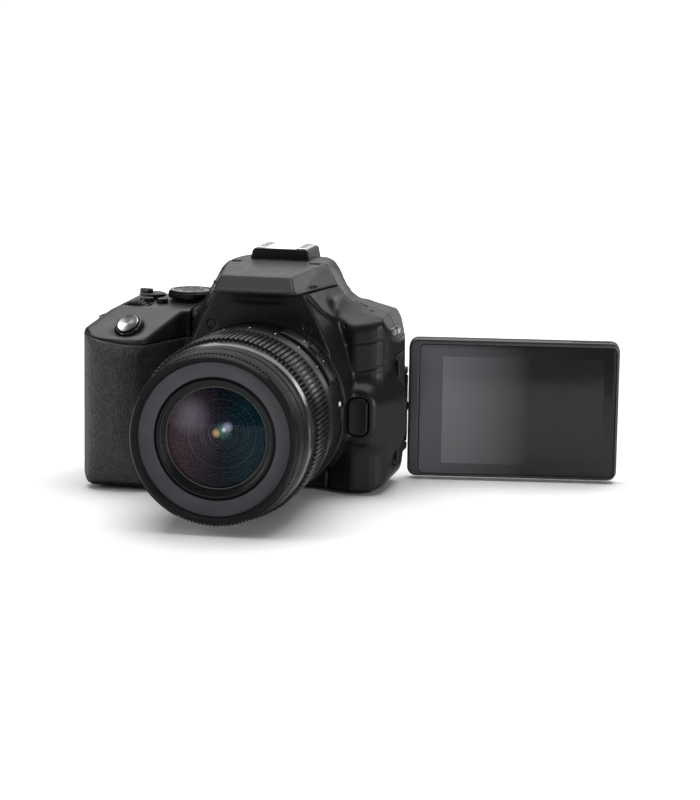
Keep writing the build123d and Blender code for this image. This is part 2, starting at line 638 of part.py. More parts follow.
def screen_frame():
    """Front frame of the screen, around the glass."""
    frame = panel(U0, U1, -V1, V1, 0.0, HALF, 3.4)
    seat = panel(U0 + 1.3, U1 - 1.3, -V1 + 1.3, V1 - 1.3, HALF - GLASS_T, HALF + 1, 2.4)
    window = panel(U0 + 14, U1 - 6, -V1 + 5, V1 - 6, -1, HALF + 1)
    return frame - seat - window - shaft_space()


def screen_back():
    """Back shell of the screen, with a finger notch in its free edge."""
    shell = panel(U0, U1, -V1, V1, -HALF, 0.0, 3.4)
    space = panel(U0 + 14, U1 - 6, -V1 + 5, V1 - 6, -HALF + 1.2, 1)
    notch = panel(U1 - 1.2, U1 + 1, 9, 17, -HALF - 1, -HALF + 1.6)
    return shell - space - notch - shaft_space()


def screen_glass():
    """Cover glass with the display bonded behind it."""
    glass = panel(U0 + 1.35, U1 - 1.35, -V1 + 1.35, V1 - 1.35, HALF - GLASS_T, HALF, 2.35)
    return glass + panel(U0 + 14.2, U1 - 6.2, -V1 + 5.2, V1 - 6.2, -HALF + 1.6, HALF - GLASS_T)


def hinge_bracket():
    """Fixed ears on the body that carry the upright axis, with their necks and pin."""
    parts = [post(1.25, HINGE_X, HINGE_Y, 12.0, 44.0)]
    for z0, z1 in ((11.5, 14.1), (41.9, 44.5)):
        parts.append(post(HINGE_R, HINGE_X, HINGE_Y, z0, z1))
        parts.append(box(HINGE_X - HINGE_R, HINGE_X + HINGE_R, 3.0, HINGE_Y, z0, z1))
    return joined(parts)


def hinge_barrel():
    """Turning barrel of the hinge, with the shaft that the screen tilts on."""
    barrel = post(HINGE_R, HINGE_X, HINGE_Y, 14.5, 41.5)
    shaft = tilt_rod(1.6, 0, U0 + 12) + tilt_rod(2.5, U0 + 6.0, U0 + 7.6)
    return (barrel + shaft) - post(1.32, HINGE_X, HINGE_Y, 10, 50)


# ---- lens --------------------------------------------------------------------------------
def lens_bayonet():
    """Metal seat of the lens with its three claws and rear skirt."""
    part = ring(32.4, 23.0, -46.0, FLANGE_Y) + ring(26.4, 23.0, FLANGE_Y, -38.6)
    claw = ring(28.3, 26.2, -42.2, -40.6) & box(-9, 9, -60, 0, AXIS_Z, 90)
    part = joined([part] + around_lens(claw, 3, 30))
    return part - disc(1.3, -45.4, -43, PIN_X)


def lens_barrel():
    """Fixed barrel with its long inner guide tube and the switch seat."""
    part = turned([(23.0, -46.0), (33.0, -46.0), (BARREL_R, -47.0), (BARREL_R, BARREL_END), (27.4, BARREL_END),
                   (27.4, -90.5), (26.2, -90.5), (26.2, -52.0), (23.0, -49.0)])
    pad = box(-9.5, 9.5, -59.4, -48.6, AXIS_Z + 26, AXIS_Z + 40) & ring(SWITCH_R, BARREL_R - 1, -60, -48)
    part = part + to_switch(pad)
    seat = box(-2.9, 2.9, -57.7, -50.3, AXIS_Z + 32.6, AXIS_Z + 40)
    mount_mark = box(BARREL_R - 1, BARREL_R + 0.25, -50.6, -47.6, AXIS_Z + 3.6, AXIS_Z + 5.2)
    index_mark = box(-0.5, 0.5, -60.4, -57.2, AXIS_Z + 32, AXIS_Z + BARREL_R + 0.25)
    return part - to_switch(seat) + mount_mark + index_mark


def to_switch(shape):
    """Turn a shape from the top of the lens to the place of the focus switch."""
    return shape.rotate(Axis((0, 0, AXIS_Z), (0, 1, 0)), SWITCH_ANGLE)


def focus_switch():
    """Sliding switch for automatic or manual focus."""
    knob = box(-2.55, 2.55, -57.4, -53.2, AXIS_Z + 32.8, AXIS_Z + 36.0)
    for i in range(4):
        knob = knob - box(-3, 3, -56.8 + 0.9 * i, -56.4 + 0.9 * i, AXIS_Z + 35.6, AXIS_Z + 37)
    return to_switch(knob)


def zoom_ring():
    """Zoom ring with deep ribs and a smooth back edge for its scale."""
    part = turned([(31.0, BARREL_END - RUN), (33.9, BARREL_END - RUN), (33.9, RIB_BACK + 0.4),
                   (33.5, RIB_BACK), (33.5, RIB_FRONT + 1.5), (32.6, RIB_FRONT), (31.0, RIB_FRONT)])
    rib = box(-0.65, 0.65, RIB_FRONT + 1.6, RIB_BACK - 0.3, AXIS_Z + 33.0, AXIS_Z + ZOOM_R)
    return joined([part] + around_lens(rib, RIBS))


def inner_barrel():
    """Telescoping barrel with its visible front collar."""
    return turned([(27.9, -62.5), (30.4, -62.5), (30.4, RIB_FRONT - 0.6), (32.7, RIB_FRONT - 0.6),
                   (31.9, FOCUS_BACK), (26.0, FOCUS_BACK), (26.0, -99.0), (27.9, -99.0)])


def focus_ring():
    """Front ring that turns to focus, with its fine knurl and accessory thread."""
    part = turned([(20.0, FOCUS_BACK - RUN), (31.6, FOCUS_BACK - RUN), (31.2, -108.6), (31.0, -110.4),
                   (FRONT_R, RIM_Y), (THREAD_R, RIM_Y), (THREAD_R, THREAD_END), (28.1, THREAD_END),
                   (28.1, -107), (20.0, -107)])
    notch = box(-4.5, 4.5, -111.8, -109.8, AXIS_Z + 30.4, AXIS_Z + 32)
    for cut in around_lens(notch, 3, 60):
        part = part - cut
    return part


def name_ring():
    """Blank cone inside the front rim, stepping down to the front glass."""
    return turned([(28.0, THREAD_END), (22.8, -108.9), (22.8, -108.2), (21.2, -108.0), (21.2, -107.4),
                   (19.9, -107.2), (19.9, -107), (28.0, -107)])


def front_glass():
    """Domed front element with its edge flange."""
    dome = disc(GLASS_R, -110, -103.5) & Pos(0, -107.4 + 62.0, AXIS_Z) * Sphere(62.0)
    return dome + disc(19.9, -104.6, -103.5)


def rear_glass():
    """Rear element in its cell."""
    return turned([(0, -41.8), (9.5, -42.6), (12.0, -43.4), (12.0, -48.0), (22.9, -48.0), (22.9, -45.0),
                   (14.0, -45.0), (14.0, -41.0), (12.0, -41.0), (9.5, -40.6), (0, -40.0)])


def part_list():
    """Every sub-part by its node name."""
    makers = [
        front_cover, rear_cover, top_cover, bottom_cover, grip_rubber, thumb_rest, terminal_cover, strap_lugs,
        battery, memory_card, battery_door, battery_latch, tripod_socket, mirror_box, mirror, pentamirror,
        shutter_unit, image_sensor, main_board, eyepiece, eyecup, diopter_dial, hot_shoe_base, hot_shoe,
        flash_head, flash_window, flash_pin, shutter_button, main_dial, mode_dial, power_lever, cross_pad,
        set_button, mount_ring, mount_screws, lens_release, lock_pin, screen_frame, screen_back, screen_glass,
        hinge_bracket, hinge_barrel, lens_bayonet, lens_barrel, focus_switch, zoom_ring, inner_barrel,
        focus_ring, name_ring, front_glass, rear_glass,
    ]
    parts = {make.__name__: make() for make in makers}
    for name, place in REAR_BUTTONS.items():
        parts[name] = rear_button(*place)
    for name, place in TOP_BUTTONS.items():
        parts[name] = top_button(*place)
    return parts


if __name__ == "__main__":
    os.makedirs("parts", exist_ok=True)
    for name, shape in part_list().items():
        export_step(shape, f"parts/{name}.step")
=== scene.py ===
"""Looks of the reflex camera: moulded shells, turned lens parts, controls, screen and materials.

Shapes are worked out in millimetres in the part's own frame and scaled to metres when they are meshed.
The shells are distance fields: negative inside, cut along the same lines as the solid covers.
"""
import json
from math import atan2, cos, hypot, pi, radians, sin, tan

import bpy
import numpy as np
import openvdb
from mathutils import Matrix, Vector


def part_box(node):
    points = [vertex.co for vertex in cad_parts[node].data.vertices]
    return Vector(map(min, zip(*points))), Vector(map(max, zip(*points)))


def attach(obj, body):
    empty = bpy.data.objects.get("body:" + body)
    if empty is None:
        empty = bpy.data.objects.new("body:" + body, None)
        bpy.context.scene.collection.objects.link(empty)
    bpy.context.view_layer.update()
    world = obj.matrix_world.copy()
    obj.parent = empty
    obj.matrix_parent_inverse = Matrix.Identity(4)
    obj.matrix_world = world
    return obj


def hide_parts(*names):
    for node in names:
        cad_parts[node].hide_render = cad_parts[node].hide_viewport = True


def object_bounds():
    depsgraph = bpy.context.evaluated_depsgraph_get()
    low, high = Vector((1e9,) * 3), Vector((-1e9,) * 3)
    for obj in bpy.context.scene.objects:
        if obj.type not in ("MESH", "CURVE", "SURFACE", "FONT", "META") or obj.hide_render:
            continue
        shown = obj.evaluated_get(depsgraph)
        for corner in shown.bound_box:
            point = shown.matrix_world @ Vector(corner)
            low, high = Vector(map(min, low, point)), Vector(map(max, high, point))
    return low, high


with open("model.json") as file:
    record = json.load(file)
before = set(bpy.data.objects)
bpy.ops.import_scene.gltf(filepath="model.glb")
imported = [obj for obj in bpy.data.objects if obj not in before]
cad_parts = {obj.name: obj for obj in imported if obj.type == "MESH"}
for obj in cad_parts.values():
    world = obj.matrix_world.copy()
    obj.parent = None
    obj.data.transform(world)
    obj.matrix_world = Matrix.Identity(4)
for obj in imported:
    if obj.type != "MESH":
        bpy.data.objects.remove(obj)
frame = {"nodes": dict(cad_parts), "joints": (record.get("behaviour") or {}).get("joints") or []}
CAD_BOX = [list(corner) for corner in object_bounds()]
MM = 0.001


# ---- sizes, in millimetres ----
def box_mm(node):
    """Lowest and highest corner of a solid."""
    low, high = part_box(node)
    return np.array(low) / MM, np.array(high) / MM


def joint_mm(name):
    """A point on a joint's axis."""
    found = [joint for joint in frame["joints"] if joint["name"] == name][0]
    return np.array(found["pos_m"]) / MM


X, Y, Z = (1, 0, 0), (0, 1, 0), (0, 0, 1)
LEFT, RIGHT = float(box_mm("grip_rubber")[0][0]), float(box_mm("rear_cover")[1][0])
AXIS_Z = float(joint_mm("zoom_turn")[2])
FLASH_Y, FLASH_Z = (float(v) for v in joint_mm("flash_lift")[1:])
HINGE_X, HINGE_Y = (float(v) for v in joint_mm("screen_swing")[:2])
MODE_X, MODE_Y = (float(v) for v in joint_mm("mode_turn")[:2])
POWER_X, POWER_Y = (float(v) for v in joint_mm("power_turn")[:2])
DIAL = joint_mm("main_dial_turn")
DIOPTER = box_mm("diopter_dial")
DOOR_LOW, DOOR_HIGH = box_mm("battery_door")
RELEASE_LOW, RELEASE_HIGH = box_mm("lens_release")
PAD_LOW, PAD_HIGH = box_mm("cross_pad")
SHOE_LOW, SHOE_HIGH = box_mm("hot_shoe")
DECK_Z = 70.6                    # top deck on the grip side
BACK_Y = 8.0                     # wall behind the closed screen
THUMB_Y = 12.5                   # raised rear wall of the grip side
STRIP_Y = 9.2                    # rear wall above the screen
FLASH_FLOOR = 79.3               # parting line under the flash head
PIVOT_R = 2.2                    # round back of the flash head, about its hinge
NOSE_Y = -41.6                   # front of the housing round the lens mount
WALL = 2.2                       # cover thickness
GAP = 0.06                       # half of a parting line
SEAM_EDGE = 0.15                 # rounding of its edges
RUN = 0.35                       # clearance round what moves
SHUTTER_AT = np.array([-52.6, -38.2, 63.6])
SHUTTER_AXIS = np.array([-0.20, -0.63, 0.75])
SHUTTER_R = 4.25
MODE_R, POWER_R, DIAL_R = 9.6, 5.4, 7.6
SOCKET_COLLAR_R = 7.9            # lip round the tripod socket
BARREL_R, ZOOM_R = 33.5, 34.2
BARREL_END, FOCUS_BACK, THREAD_END = -60.6, -102.4, -109.8
RIM_Y = float(box_mm("focus_ring")[0][1])
RIBS, KNURLS = 116, 140

PLAN = [(-69.5, 9.5, 3), (LEFT, -6, 8), (LEFT, -38, 9), (-65, -48.5, 9), (-54, -50.4, 9), (-45, -47.5, 6),
        (-39, -36, 8), (-34, -27, 5), (-20, -24, 3), (20, -24, 3), (34, -30, 5), (46.2, -27.4, 9),
        (RIGHT, -14, 9), (RIGHT, -8, 6), (49.2, 0, 6), (46.6, 6.9, 1.5), (40.2, 6.9, 0.4),
        (39.6, BACK_Y, 0.4), (-40, BACK_Y, 0), (-60, 9.5, 0)]
FRONT_VIEW = [(-67, 0, 3), (LEFT, 5, 4), (LEFT, 61, 1.0), (-58.5, 72.4, 1.5), (-30, 76), (30, 76),
              (36, 71.6, 6), (44.5, 69, 1.2), (49.6, 59, 3), (RIGHT, 44, 9), (RIGHT, 16, 13), (47.9, 4.2, 9),
              (39.5, 0, 7)]
GRIP_SIDE = [(14, 0, 2), (14, 66, 2), (9, DECK_Z, 2), (-27, 69.2, 2), (-46.2, 59.6, 6), (-50.4, 52, 6),
             (-49.6, 18, 9), (-45, 3, 4), (-40, 0, 3)]
HINGE_SIDE = [(BACK_Y, 0, 1.5), (BACK_Y, 67, 1.5), (4, 72.6, 3), (-12, 73, 4), (-24, 69.6, 0.7), (-36, 61, 2),
              (-36, 0, 2)]
HUMP_SIDE = [(10.5, 58), (13, 61, 1), (13, 82, 3), (9, 87.8, 2), (-6, 88.3, 6), (-47.6, 86.2, 0.5),
             (-52.3, 80.2, 0.5), (-51.4, FLASH_FLOOR, 0.4), (-41, FLASH_FLOOR), (-30, 64)]
NOSE_FRONT = [(-33, 40), (-27.2, 58, 20), (-22.4, 69, 9), (-16.2, 80.4), (16.2, 80.4), (22.4, 69, 9),
              (27.2, 58, 20), (33, 40)]
GRIP_HOLLOW = [(-67, 5.8), (-67, -40), (-62, -45.5), (-54, -47), (-47.5, -44), (-42.5, -35), (-37, -24),
               (-36, 5.8)]
NAMEPLATE = [(31.2, 58.6, 1), (45.8, 60.6, 1), (45.6, 50.4, 1.5), (34.0, 48, 2.5), (32.4, 53)]
REAR_BUTTONS = {                 # name: (x, z, radius, wall, body)
    "menu_button": (35.0, 63.6, 2.4, STRIP_Y, "menu_key"),
    "info_button": (27.0, 63.6, 2.4, STRIP_Y, "info_key"),
    "live_view_button": (-29.5, 63.6, 2.8, STRIP_Y, "live_view_key"),
    "playback_button": (-48.5, 7.6, 2.2, THUMB_Y, "playback_key"),
    "erase_button": (-63.0, 7.6, 2.2, THUMB_Y, "erase_key"),
    "lock_button": (-50.6, 57.5, 2.4, THUMB_Y, "lock_key"),
    "focus_point_button": (-60.0, 57.5, 2.4, THUMB_Y, "focus_point_key"),
}
TOP_BUTTONS = {                  # name: (x, y, radius, body)
    "iso_button": (-46.2, -13.6, 2.2, "iso_key"),
    "display_button": (-52.4, -12.6, 2.2, "display_btn_key"),
}
PAD_X, PAD_Z = (PAD_LOW[0] + PAD_HIGH[0]) / 2, (PAD_LOW[2] + PAD_HIGH[2]) / 2
RELEASE_X, RELEASE_Z = (RELEASE_LOW[0] + RELEASE_HIGH[0]) / 2, (RELEASE_LOW[2] + RELEASE_HIGH[2]) / 2


# ---- materials ----
class Finish:
    """A procedural material, built up step by step."""

    def __init__(self, name, **values):
        self.material = bpy.data.materials.new(name)
        self.material.use_nodes = True
        self.tree = self.material.node_tree
        self.shader = self.tree.nodes["Principled BSDF"]
        self.place = self.add("ShaderNodeTexCoord").outputs["Object"]
        for key, value in values.items():
            self.shader.inputs[key.replace("_", " ")].default_value = value

    def add(self, kind, settings=None, **values):
        node = self.tree.nodes.new(kind)
        for key, value in (settings or {}).items():
            setattr(node, key, value)
        for key, value in values.items():
            node.inputs[key].default_value = value
        return node

    def link(self, out, into):
        self.tree.links.new(out, into)

    def math(self, operation, *inputs):
        """Result of a sum on sockets and plain numbers."""
        node = self.add("ShaderNodeMath", {"operation": operation})
        for socket, value in zip(node.inputs, inputs):
            if isinstance(value, float):
                socket.default_value = value
            else:
                self.link(value, socket)
        return node.outputs[0]

    def noise(self, size, detail=3.0, stretch=(1, 1, 1)):
        """Cloudy value whose features are about size millimetres across."""
        mapping = self.add("ShaderNodeMapping", Scale=stretch)
        self.link(self.place, mapping.inputs["Vector"])
        node = self.add("ShaderNodeTexNoise", Scale=1 / (size * MM), Detail=detail)
        self.link(mapping.outputs[0], node.inputs["Vector"])
        return node.outputs["Fac"]

    def ramp(self, source, stops):
        """Colour by value: stops are (value, colour or grey)."""
        node = self.add("ShaderNodeValToRGB")
        elements = node.color_ramp.elements
        while len(elements) < len(stops):
            elements.new(0.5)
        for element, (value, colour) in zip(elements, stops):
            element.position = value
            element.color = (*colour, 1) if hasattr(colour, "__len__") else (colour, colour, colour, 1)
        self.link(source, node.inputs["Fac"])
        return node.outputs["Color"]

    def into(self, socket, source, stops):
        self.link(self.ramp(source, stops), self.shader.inputs[socket])
        return self

    def bump(self, source, height):
        """Relief of so many millimetres."""
        node = self.add("ShaderNodeBump", Distance=height * MM, Strength=1.0)
        self.link(source, node.inputs["Height"])
        normal = self.shader.inputs["Normal"]
        if normal.is_linked:
            self.link(normal.links[0].from_socket, node.inputs["Normal"])
        self.link(node.outputs["Normal"], normal)
        return self


def scaled(colour, factor):
    return [c * factor for c in colour]


def plastic(name, colour, rough, grain=0.012, grain_size=0.22, level=0.5):
    """Moulded plastic: fine spark-eroded grain, faint mottling and slightly polished patches."""
    made = Finish(name, Specular_IOR_Level=level)
    mottle = made.noise(9, 4)
    made.into("Base Color", mottle, [(0.3, scaled(colour, 0.88)), (0.7, scaled(colour, 1.12))])
    made.into("Roughness", made.noise(5, 3), [(0.3, rough - 0.03), (0.7, rough + 0.04)])
    return made.bump(made.noise(grain_size, 2), grain).material


def leather(name, colour, rough, cell, height):
    """Moulded rubber with a leather grain: small pebbles with creases between them, with painted shade in the
    creases and painted light on the pebble tops.
    """
    made = Finish(name, Specular_IOR_Level=0.5)
    warp = made.add("ShaderNodeTexNoise", Scale=1 / (1.6 * MM), Detail=2.0)
    made.link(made.place, warp.inputs["Vector"])
    mixed = made.add("ShaderNodeMixRGB", {"blend_type": "LINEAR_LIGHT"}, Fac=0.0006)
    made.link(made.place, mixed.inputs["Color1"])
    made.link(warp.outputs["Color"], mixed.inputs["Color2"])
    cells = made.add("ShaderNodeTexVoronoi", {"feature": "SMOOTH_F1"}, Scale=1 / (cell * MM), Smoothness=0.4)
    made.link(mixed.outputs["Color"], cells.inputs["Vector"])
    pebble_relief_and_shade = made.ramp(cells.outputs["Distance"], [(0.1, 1.0), (0.62, 0.0)])
    # painted shade and light: the base colour is dark down in the creases and light on the pebble tops
    made.into("Base Color", pebble_relief_and_shade, [(0.0, scaled(colour, 0.45)), (1.0, scaled(colour, 1.5))])
    made.into("Roughness", pebble_relief_and_shade, [(0.0, rough + 0.15), (1.0, rough - 0.05)])
    made.bump(pebble_relief_and_shade, height)
    return made.bump(made.noise(0.15, 2), 0.012).material


def metal(name, colour, rough, stretch=(1, 1, 1), size=0.5, height=0.002):
    """Bare metal with a rolled or brushed surface."""
    made = Finish(name, Metallic=1.0)
    lines = made.noise(size, 4, stretch)
    made.into("Base Color", lines, [(0.3, scaled(colour, 0.86)), (0.7, colour)])
    made.into("Roughness", lines, [(0.3, rough - 0.04), (0.7, rough + 0.06)])
    return made.bump(lines, height).material


def spun_metal_painted_highlight(name, colour, rough, centre, axis):
    """Metal faced on a lathe: fine rings, with two bright cones of painted highlight in its base colour."""
    made = Finish(name, Metallic=1.0)
    turn = Vector(axis).to_track_quat("Z", "Y").to_euler()
    local = made.add("ShaderNodeMapping", {"vector_type": "TEXTURE"}, Location=[c * MM for c in centre],
                     Rotation=turn)
    made.link(made.place, local.inputs["Vector"])
    parts = made.add("ShaderNodeSeparateXYZ")
    made.link(local.outputs[0], parts.inputs[0])
    angle = made.math("ARCTAN2", parts.outputs["Y"], parts.outputs["X"])
    # painted highlight: the base colour brightens in two opposite cones round the axis, where light would
    # catch the lathe rings
    cone = made.math("COSINE", made.math("ADD", made.math("MULTIPLY", angle, 2.0), -1.35))
    level = made.add("ShaderNodeMapRange")
    level.inputs["From Min"].default_value = -1.0
    made.link(cone, level.inputs["Value"])
    highlight_shades = [(0.0, scaled(colour, 0.22)), (0.55, scaled(colour, 0.42)), (1.0, colour)]
    made.into("Base Color", level.outputs[0], highlight_shades)
    rings = made.add("ShaderNodeTexWave", {"wave_type": "RINGS", "rings_direction": "Z"},
                     Scale=1 / (0.9 * MM))
    made.link(local.outputs[0], rings.inputs["Vector"])
    made.into("Roughness", rings.outputs["Fac"], [(0.0, rough - 0.05), (1.0, rough + 0.05)])
    return made.bump(rings.outputs["Fac"], 0.002).material


def glossy(name, colour, rough=0.10, level=0.5):
    """Polished plastic or glass over black, with a trace of dust."""
    made = Finish(name, Specular_IOR_Level=level)
    dust = made.noise(3, 5)
    made.into("Roughness", dust, [(0.45, rough), (0.75, rough + 0.06)])
    made.into("Base Color", dust, [(0.4, colour), (0.8, scaled(colour, 1.3))])
    return made.bump(made.noise(6, 2), 0.002).material


def across(made, low, high, axis, stops, socket="Base Color"):
    """Colour that drifts between two places along one axis of the part."""
    parts = made.add("ShaderNodeSeparateXYZ")
    made.link(made.place, parts.inputs[0])
    span = made.add("ShaderNodeMapRange")
    span.inputs["From Min"].default_value = low * MM
    span.inputs["From Max"].default_value = high * MM
    made.link(parts.outputs[axis], span.inputs["Value"])
    return made.into(socket, span.outputs[0], stops)


def display_glass_painted_reflection(name, low, high, left, right):
    """Glass over a dark display, with a painted reflection: a grey sheen at the hinge side that fades to dark
    towards the free edge.
    """
    made = Finish(name, Specular_IOR_Level=0.25)
    across(made, low, high, "X", [(0.0, left), (0.55, scaled(right, 1.25)), (1.0, right)])
    return made.into("Roughness", made.noise(4, 4), [(0.4, 0.16), (0.8, 0.22)]).material


def element_painted_reflection(name, left, right, low, high, rough=0.03, level=0.9):
    """Coated element over a dark barrel, with painted reflection tints that drift from one side to the other.
    """
    made = Finish(name, Specular_IOR_Level=level)
    # painted reflection: one tint at one side, dark in the middle, the other tint at the other side
    reflection_tints = [(0.0, left), (0.45, scaled(left, 0.3)), (0.62, scaled(right, 0.4)), (1.0, right)]
    across(made, low, high, "X", reflection_tints)
    return made.into("Roughness", made.noise(2, 3), [(0.3, rough), (0.7, rough + 0.02)]).material


def clear_glass(name, tint, film):
    """Clear coated glass: the thin film tints what it reflects."""
    made = Finish(name, Transmission_Weight=1.0, IOR=1.5, Thin_Film_Thickness=film, Thin_Film_IOR=1.38)
    made.into("Base Color", made.noise(12, 2), [(0.3, tint), (0.7, scaled(tint, 0.98))])
    return made.into("Roughness", made.noise(4, 4), [(0.4, 0.0), (0.9, 0.015)]).material


def front_glass_painted_reflection(name):
    """Front element: painted reflection tints of purple and teal over what lies behind it, and one soft
    glowing patch painted in as a reflected light.
    """
    made = Finish(name, Specular_IOR_Level=0.14, Alpha=0.60)
    # painted reflection tints: purple at the left, dark in the middle, teal at the right
    reflection_tints = [(0.0, (0.050, 0.027, 0.034)), (0.35, (0.018, 0.012, 0.018)), (0.55, (0.003, 0.005, 0.009)),
             (1.0, (0.002, 0.020, 0.030))]
    across(made, -17, 17, "X", reflection_tints)
    # painted reflection of a softbox: a glowing patch at the upper left with a dim, wide halo round it
    glints(made, -107.0, ((-9.5, 42.5, 8.0, (0.075, 0.075, 0.090)),
                          (-6.0, 39.0, 14.0, (0.012, 0.010, 0.014))))
    return made.into("Roughness", made.noise(4, 4), [(0.4, 0.05), (0.9, 0.08)]).material


def core_element(name, spots):
    """Innermost element, with small glowing spots painted in as glints of light reflected in the coatings."""
    made = Finish(name, Specular_IOR_Level=0.3, Base_Color=(0.004, 0.008, 0.010, 1))
    glints(made, -97.0, spots)
    return made.into("Roughness", made.noise(2, 3), [(0.3, 0.05), (0.7, 0.07)]).material


def glints(made, y, spots):
    """Painted glints: soft round glowing patches that stand in for light reflected in a coating at one depth,
    as (x, z, radius, colour).
    """
    total = None
    for x, z, radius, colour in spots:
        local = made.add("ShaderNodeMapping", {"vector_type": "TEXTURE"}, Location=(x * MM, y * MM, z * MM),
                         Scale=[radius * MM, 0.03, radius * MM])
        made.link(made.place, local.inputs["Vector"])
        ball = made.add("ShaderNodeTexGradient", {"gradient_type": "SPHERICAL"})
        made.link(local.outputs[0], ball.inputs["Vector"])
        spot = made.ramp(ball.outputs["Fac"], [(0.0, 0.0), (0.8, colour)])
        if total is not None:
            blend = made.add("ShaderNodeMixRGB", {"blend_type": "ADD"}, Fac=1.0)
            made.link(total, blend.inputs["Color1"])
            made.link(spot, blend.inputs["Color2"])
            spot = blend.outputs[0]
        total = spot
    made.link(total, made.shader.inputs["Emission Color"])
    made.shader.inputs["Emission Strength"].default_value = 1.0


COOL = (1.0, 1.0, 1.08)
MATERIALS = {
    "body": plastic("satin_body", scaled(COOL, 0.006), 0.36, level=0.22),
    # top cover and flash head: a lighter, glossier copy of the body plastic, standing in for the light that
    # falls on top
    "top": plastic("satin_top_lit_copy", scaled(COOL, 0.008), 0.38, level=0.35),
    "button": plastic("button_black", scaled(COOL, 0.006), 0.30, 0.005, level=0.25),
    "chassis": plastic("chassis_black", scaled(COOL, 0.008), 0.7),
    "grip": leather("leather_grain", scaled((1.0, 1.0, 1.15), 0.020), 0.48, 0.90, 0.16),
    "thumb": leather("thumb_grain", scaled(COOL, 0.011), 0.55, 0.62, 0.11),
    "soft": plastic("soft_rubber", scaled(COOL, 0.007), 0.62, 0.010, level=0.3),
    "lens": plastic("lens_satin", scaled(COOL, 0.005), 0.32, 0.006, level=0.22),
    "collar": plastic("lens_collar", scaled(COOL, 0.010), 0.19, 0.002, level=1.0),
    "matte": plastic("lens_matte", scaled(COOL, 0.005), 0.45, 0.006, level=0.12),
    "name": plastic("name_ring_grey", (0.040, 0.040, 0.047), 0.50, 0.004, level=0.3),
    "gloss": glossy("gloss_black", (0.010, 0.010, 0.011)),
    "frame": glossy("screen_frame", (0.016, 0.016, 0.018), 0.28),
    "shoe": metal("plated_shoe", (0.86, 0.86, 0.87), 0.22, (1, 12, 1)),
    "steel": metal("plain_steel", (0.55, 0.55, 0.57), 0.30),
    "mount": metal("mount_steel", (0.68, 0.68, 0.70), 0.26),
    "silvered": metal("silvered_glass", (0.88, 0.89, 0.92), 0.03, height=0.0002),
    # shutter cap: spun metal whose highlight cones are painted into its colour
    "cap": spun_metal_painted_highlight("spun_cap_painted_highlight", (0.50, 0.50, 0.52), 0.32, SHUTTER_AT, SHUTTER_AXIS),
    "white": plastic("white_mark", (0.80, 0.80, 0.80), 0.5, 0.001),
    "grey_mark": plastic("grey_mark", (0.30, 0.30, 0.31), 0.5, 0.001),
    "board": plastic("solder_mask", (0.012, 0.07, 0.03), 0.35, 0.004),
    "battery": plastic("battery_case", (0.045, 0.045, 0.05), 0.5),
    "card": plastic("card_case", (0.02, 0.03, 0.10), 0.4, 0.003),
    "eyepiece": glossy("finder_window", (0.012, 0.014, 0.022), 0.04),
    "zoom_rubber": plastic("zoom_rubber", scaled(COOL, 0.007), 0.32, 0.004, level=0.3),
    "rim": metal("dial_rim", (0.35, 0.35, 0.36), 0.3),
    "lug": metal("blackened_lug", (0.14, 0.14, 0.145), 0.25),
    "bezel": plastic("bezel_black", scaled(COOL, 0.02), 0.25, 0.001, level=0.4),
    "baffle": plastic("baffle_black", scaled(COOL, 0.002), 0.5, 0.001, level=0.1),
    "front_coating": front_glass_painted_reflection("front_coating"),
    "inner_coating": element_painted_reflection("inner_coating", (0.05, 0.012, 0.03), (0.004, 0.05, 0.05), -9, 9, 0.08),
    # screen glass and display area: painted reflection, grey at the hinge side fading to dark at the free edge
    "screen_glass": display_glass_painted_reflection("screen_glass", 50, 132, (0.090, 0.090, 0.100), (0.010, 0.010, 0.011)),
    "display": display_glass_painted_reflection("display", 60, 127, (0.150, 0.152, 0.162), (0.012, 0.012, 0.013)),
    # painted glints: amber, violet, green and white glowing spots standing in for reflections in the inner
    # coatings
    "core_coating": core_element("core_coating", (
        (-2.4, 34.6, 1.9, (2.4, 1.5, 0.6)), (1.8, 37.0, 2.2, (1.3, 1.1, 1.8)),
        (0.2, 35.6, 3.6, (0.20, 0.62, 0.45)), (0.5, 36.0, 1.0, (3.0, 3.0, 2.6)))),
    "pane": clear_glass("flash_pane", (0.95, 0.95, 0.95), 0.0),
}


# ---- outlines ----
def rounded(points, radius=0.0, step=pi / 14):
    """Closed outline with its corners rounded; a third value on a point is that corner's own radius."""
    made = []
    count = len(points)
    for i, point in enumerate(points):
        here = np.array(point[:2], float)
        before = np.array(points[i - 1][:2], float) - here
        after = np.array(points[(i + 1) % count][:2], float) - here
        reach_in, reach_out = hypot(*before), hypot(*after)
        before, after = before / reach_in, after / reach_out
        wanted = point[2] if len(point) > 2 else radius
        opening = np.arccos(np.clip(before @ after, -1, 1))
        if wanted <= 0 or opening > pi - 0.02:
            made.append(here)
            continue
        tangent = min(wanted / tan(opening / 2), 0.48 * reach_in, 0.48 * reach_out)
        r = tangent * tan(opening / 2)
        centre = here + (before + after) / np.linalg.norm(before + after) * r / sin(opening / 2)
        first, last = here + before * tangent - centre, here + after * tangent - centre
        start = atan2(first[1], first[0])
        sweep = (atan2(last[1], last[0]) - start + pi) % (2 * pi) - pi
        steps = max(2, int(abs(sweep) / step))
        made += [centre + r * np.array([cos(start + sweep * k / steps), sin(start + sweep * k / steps)])
                 for k in range(steps + 1)]
    return np.array(made)


def rectangle(a0, a1, b0, b1, radius=0.0):
    return rounded([(a0, b0), (a1, b0), (a1, b1), (a0, b1)], radius)


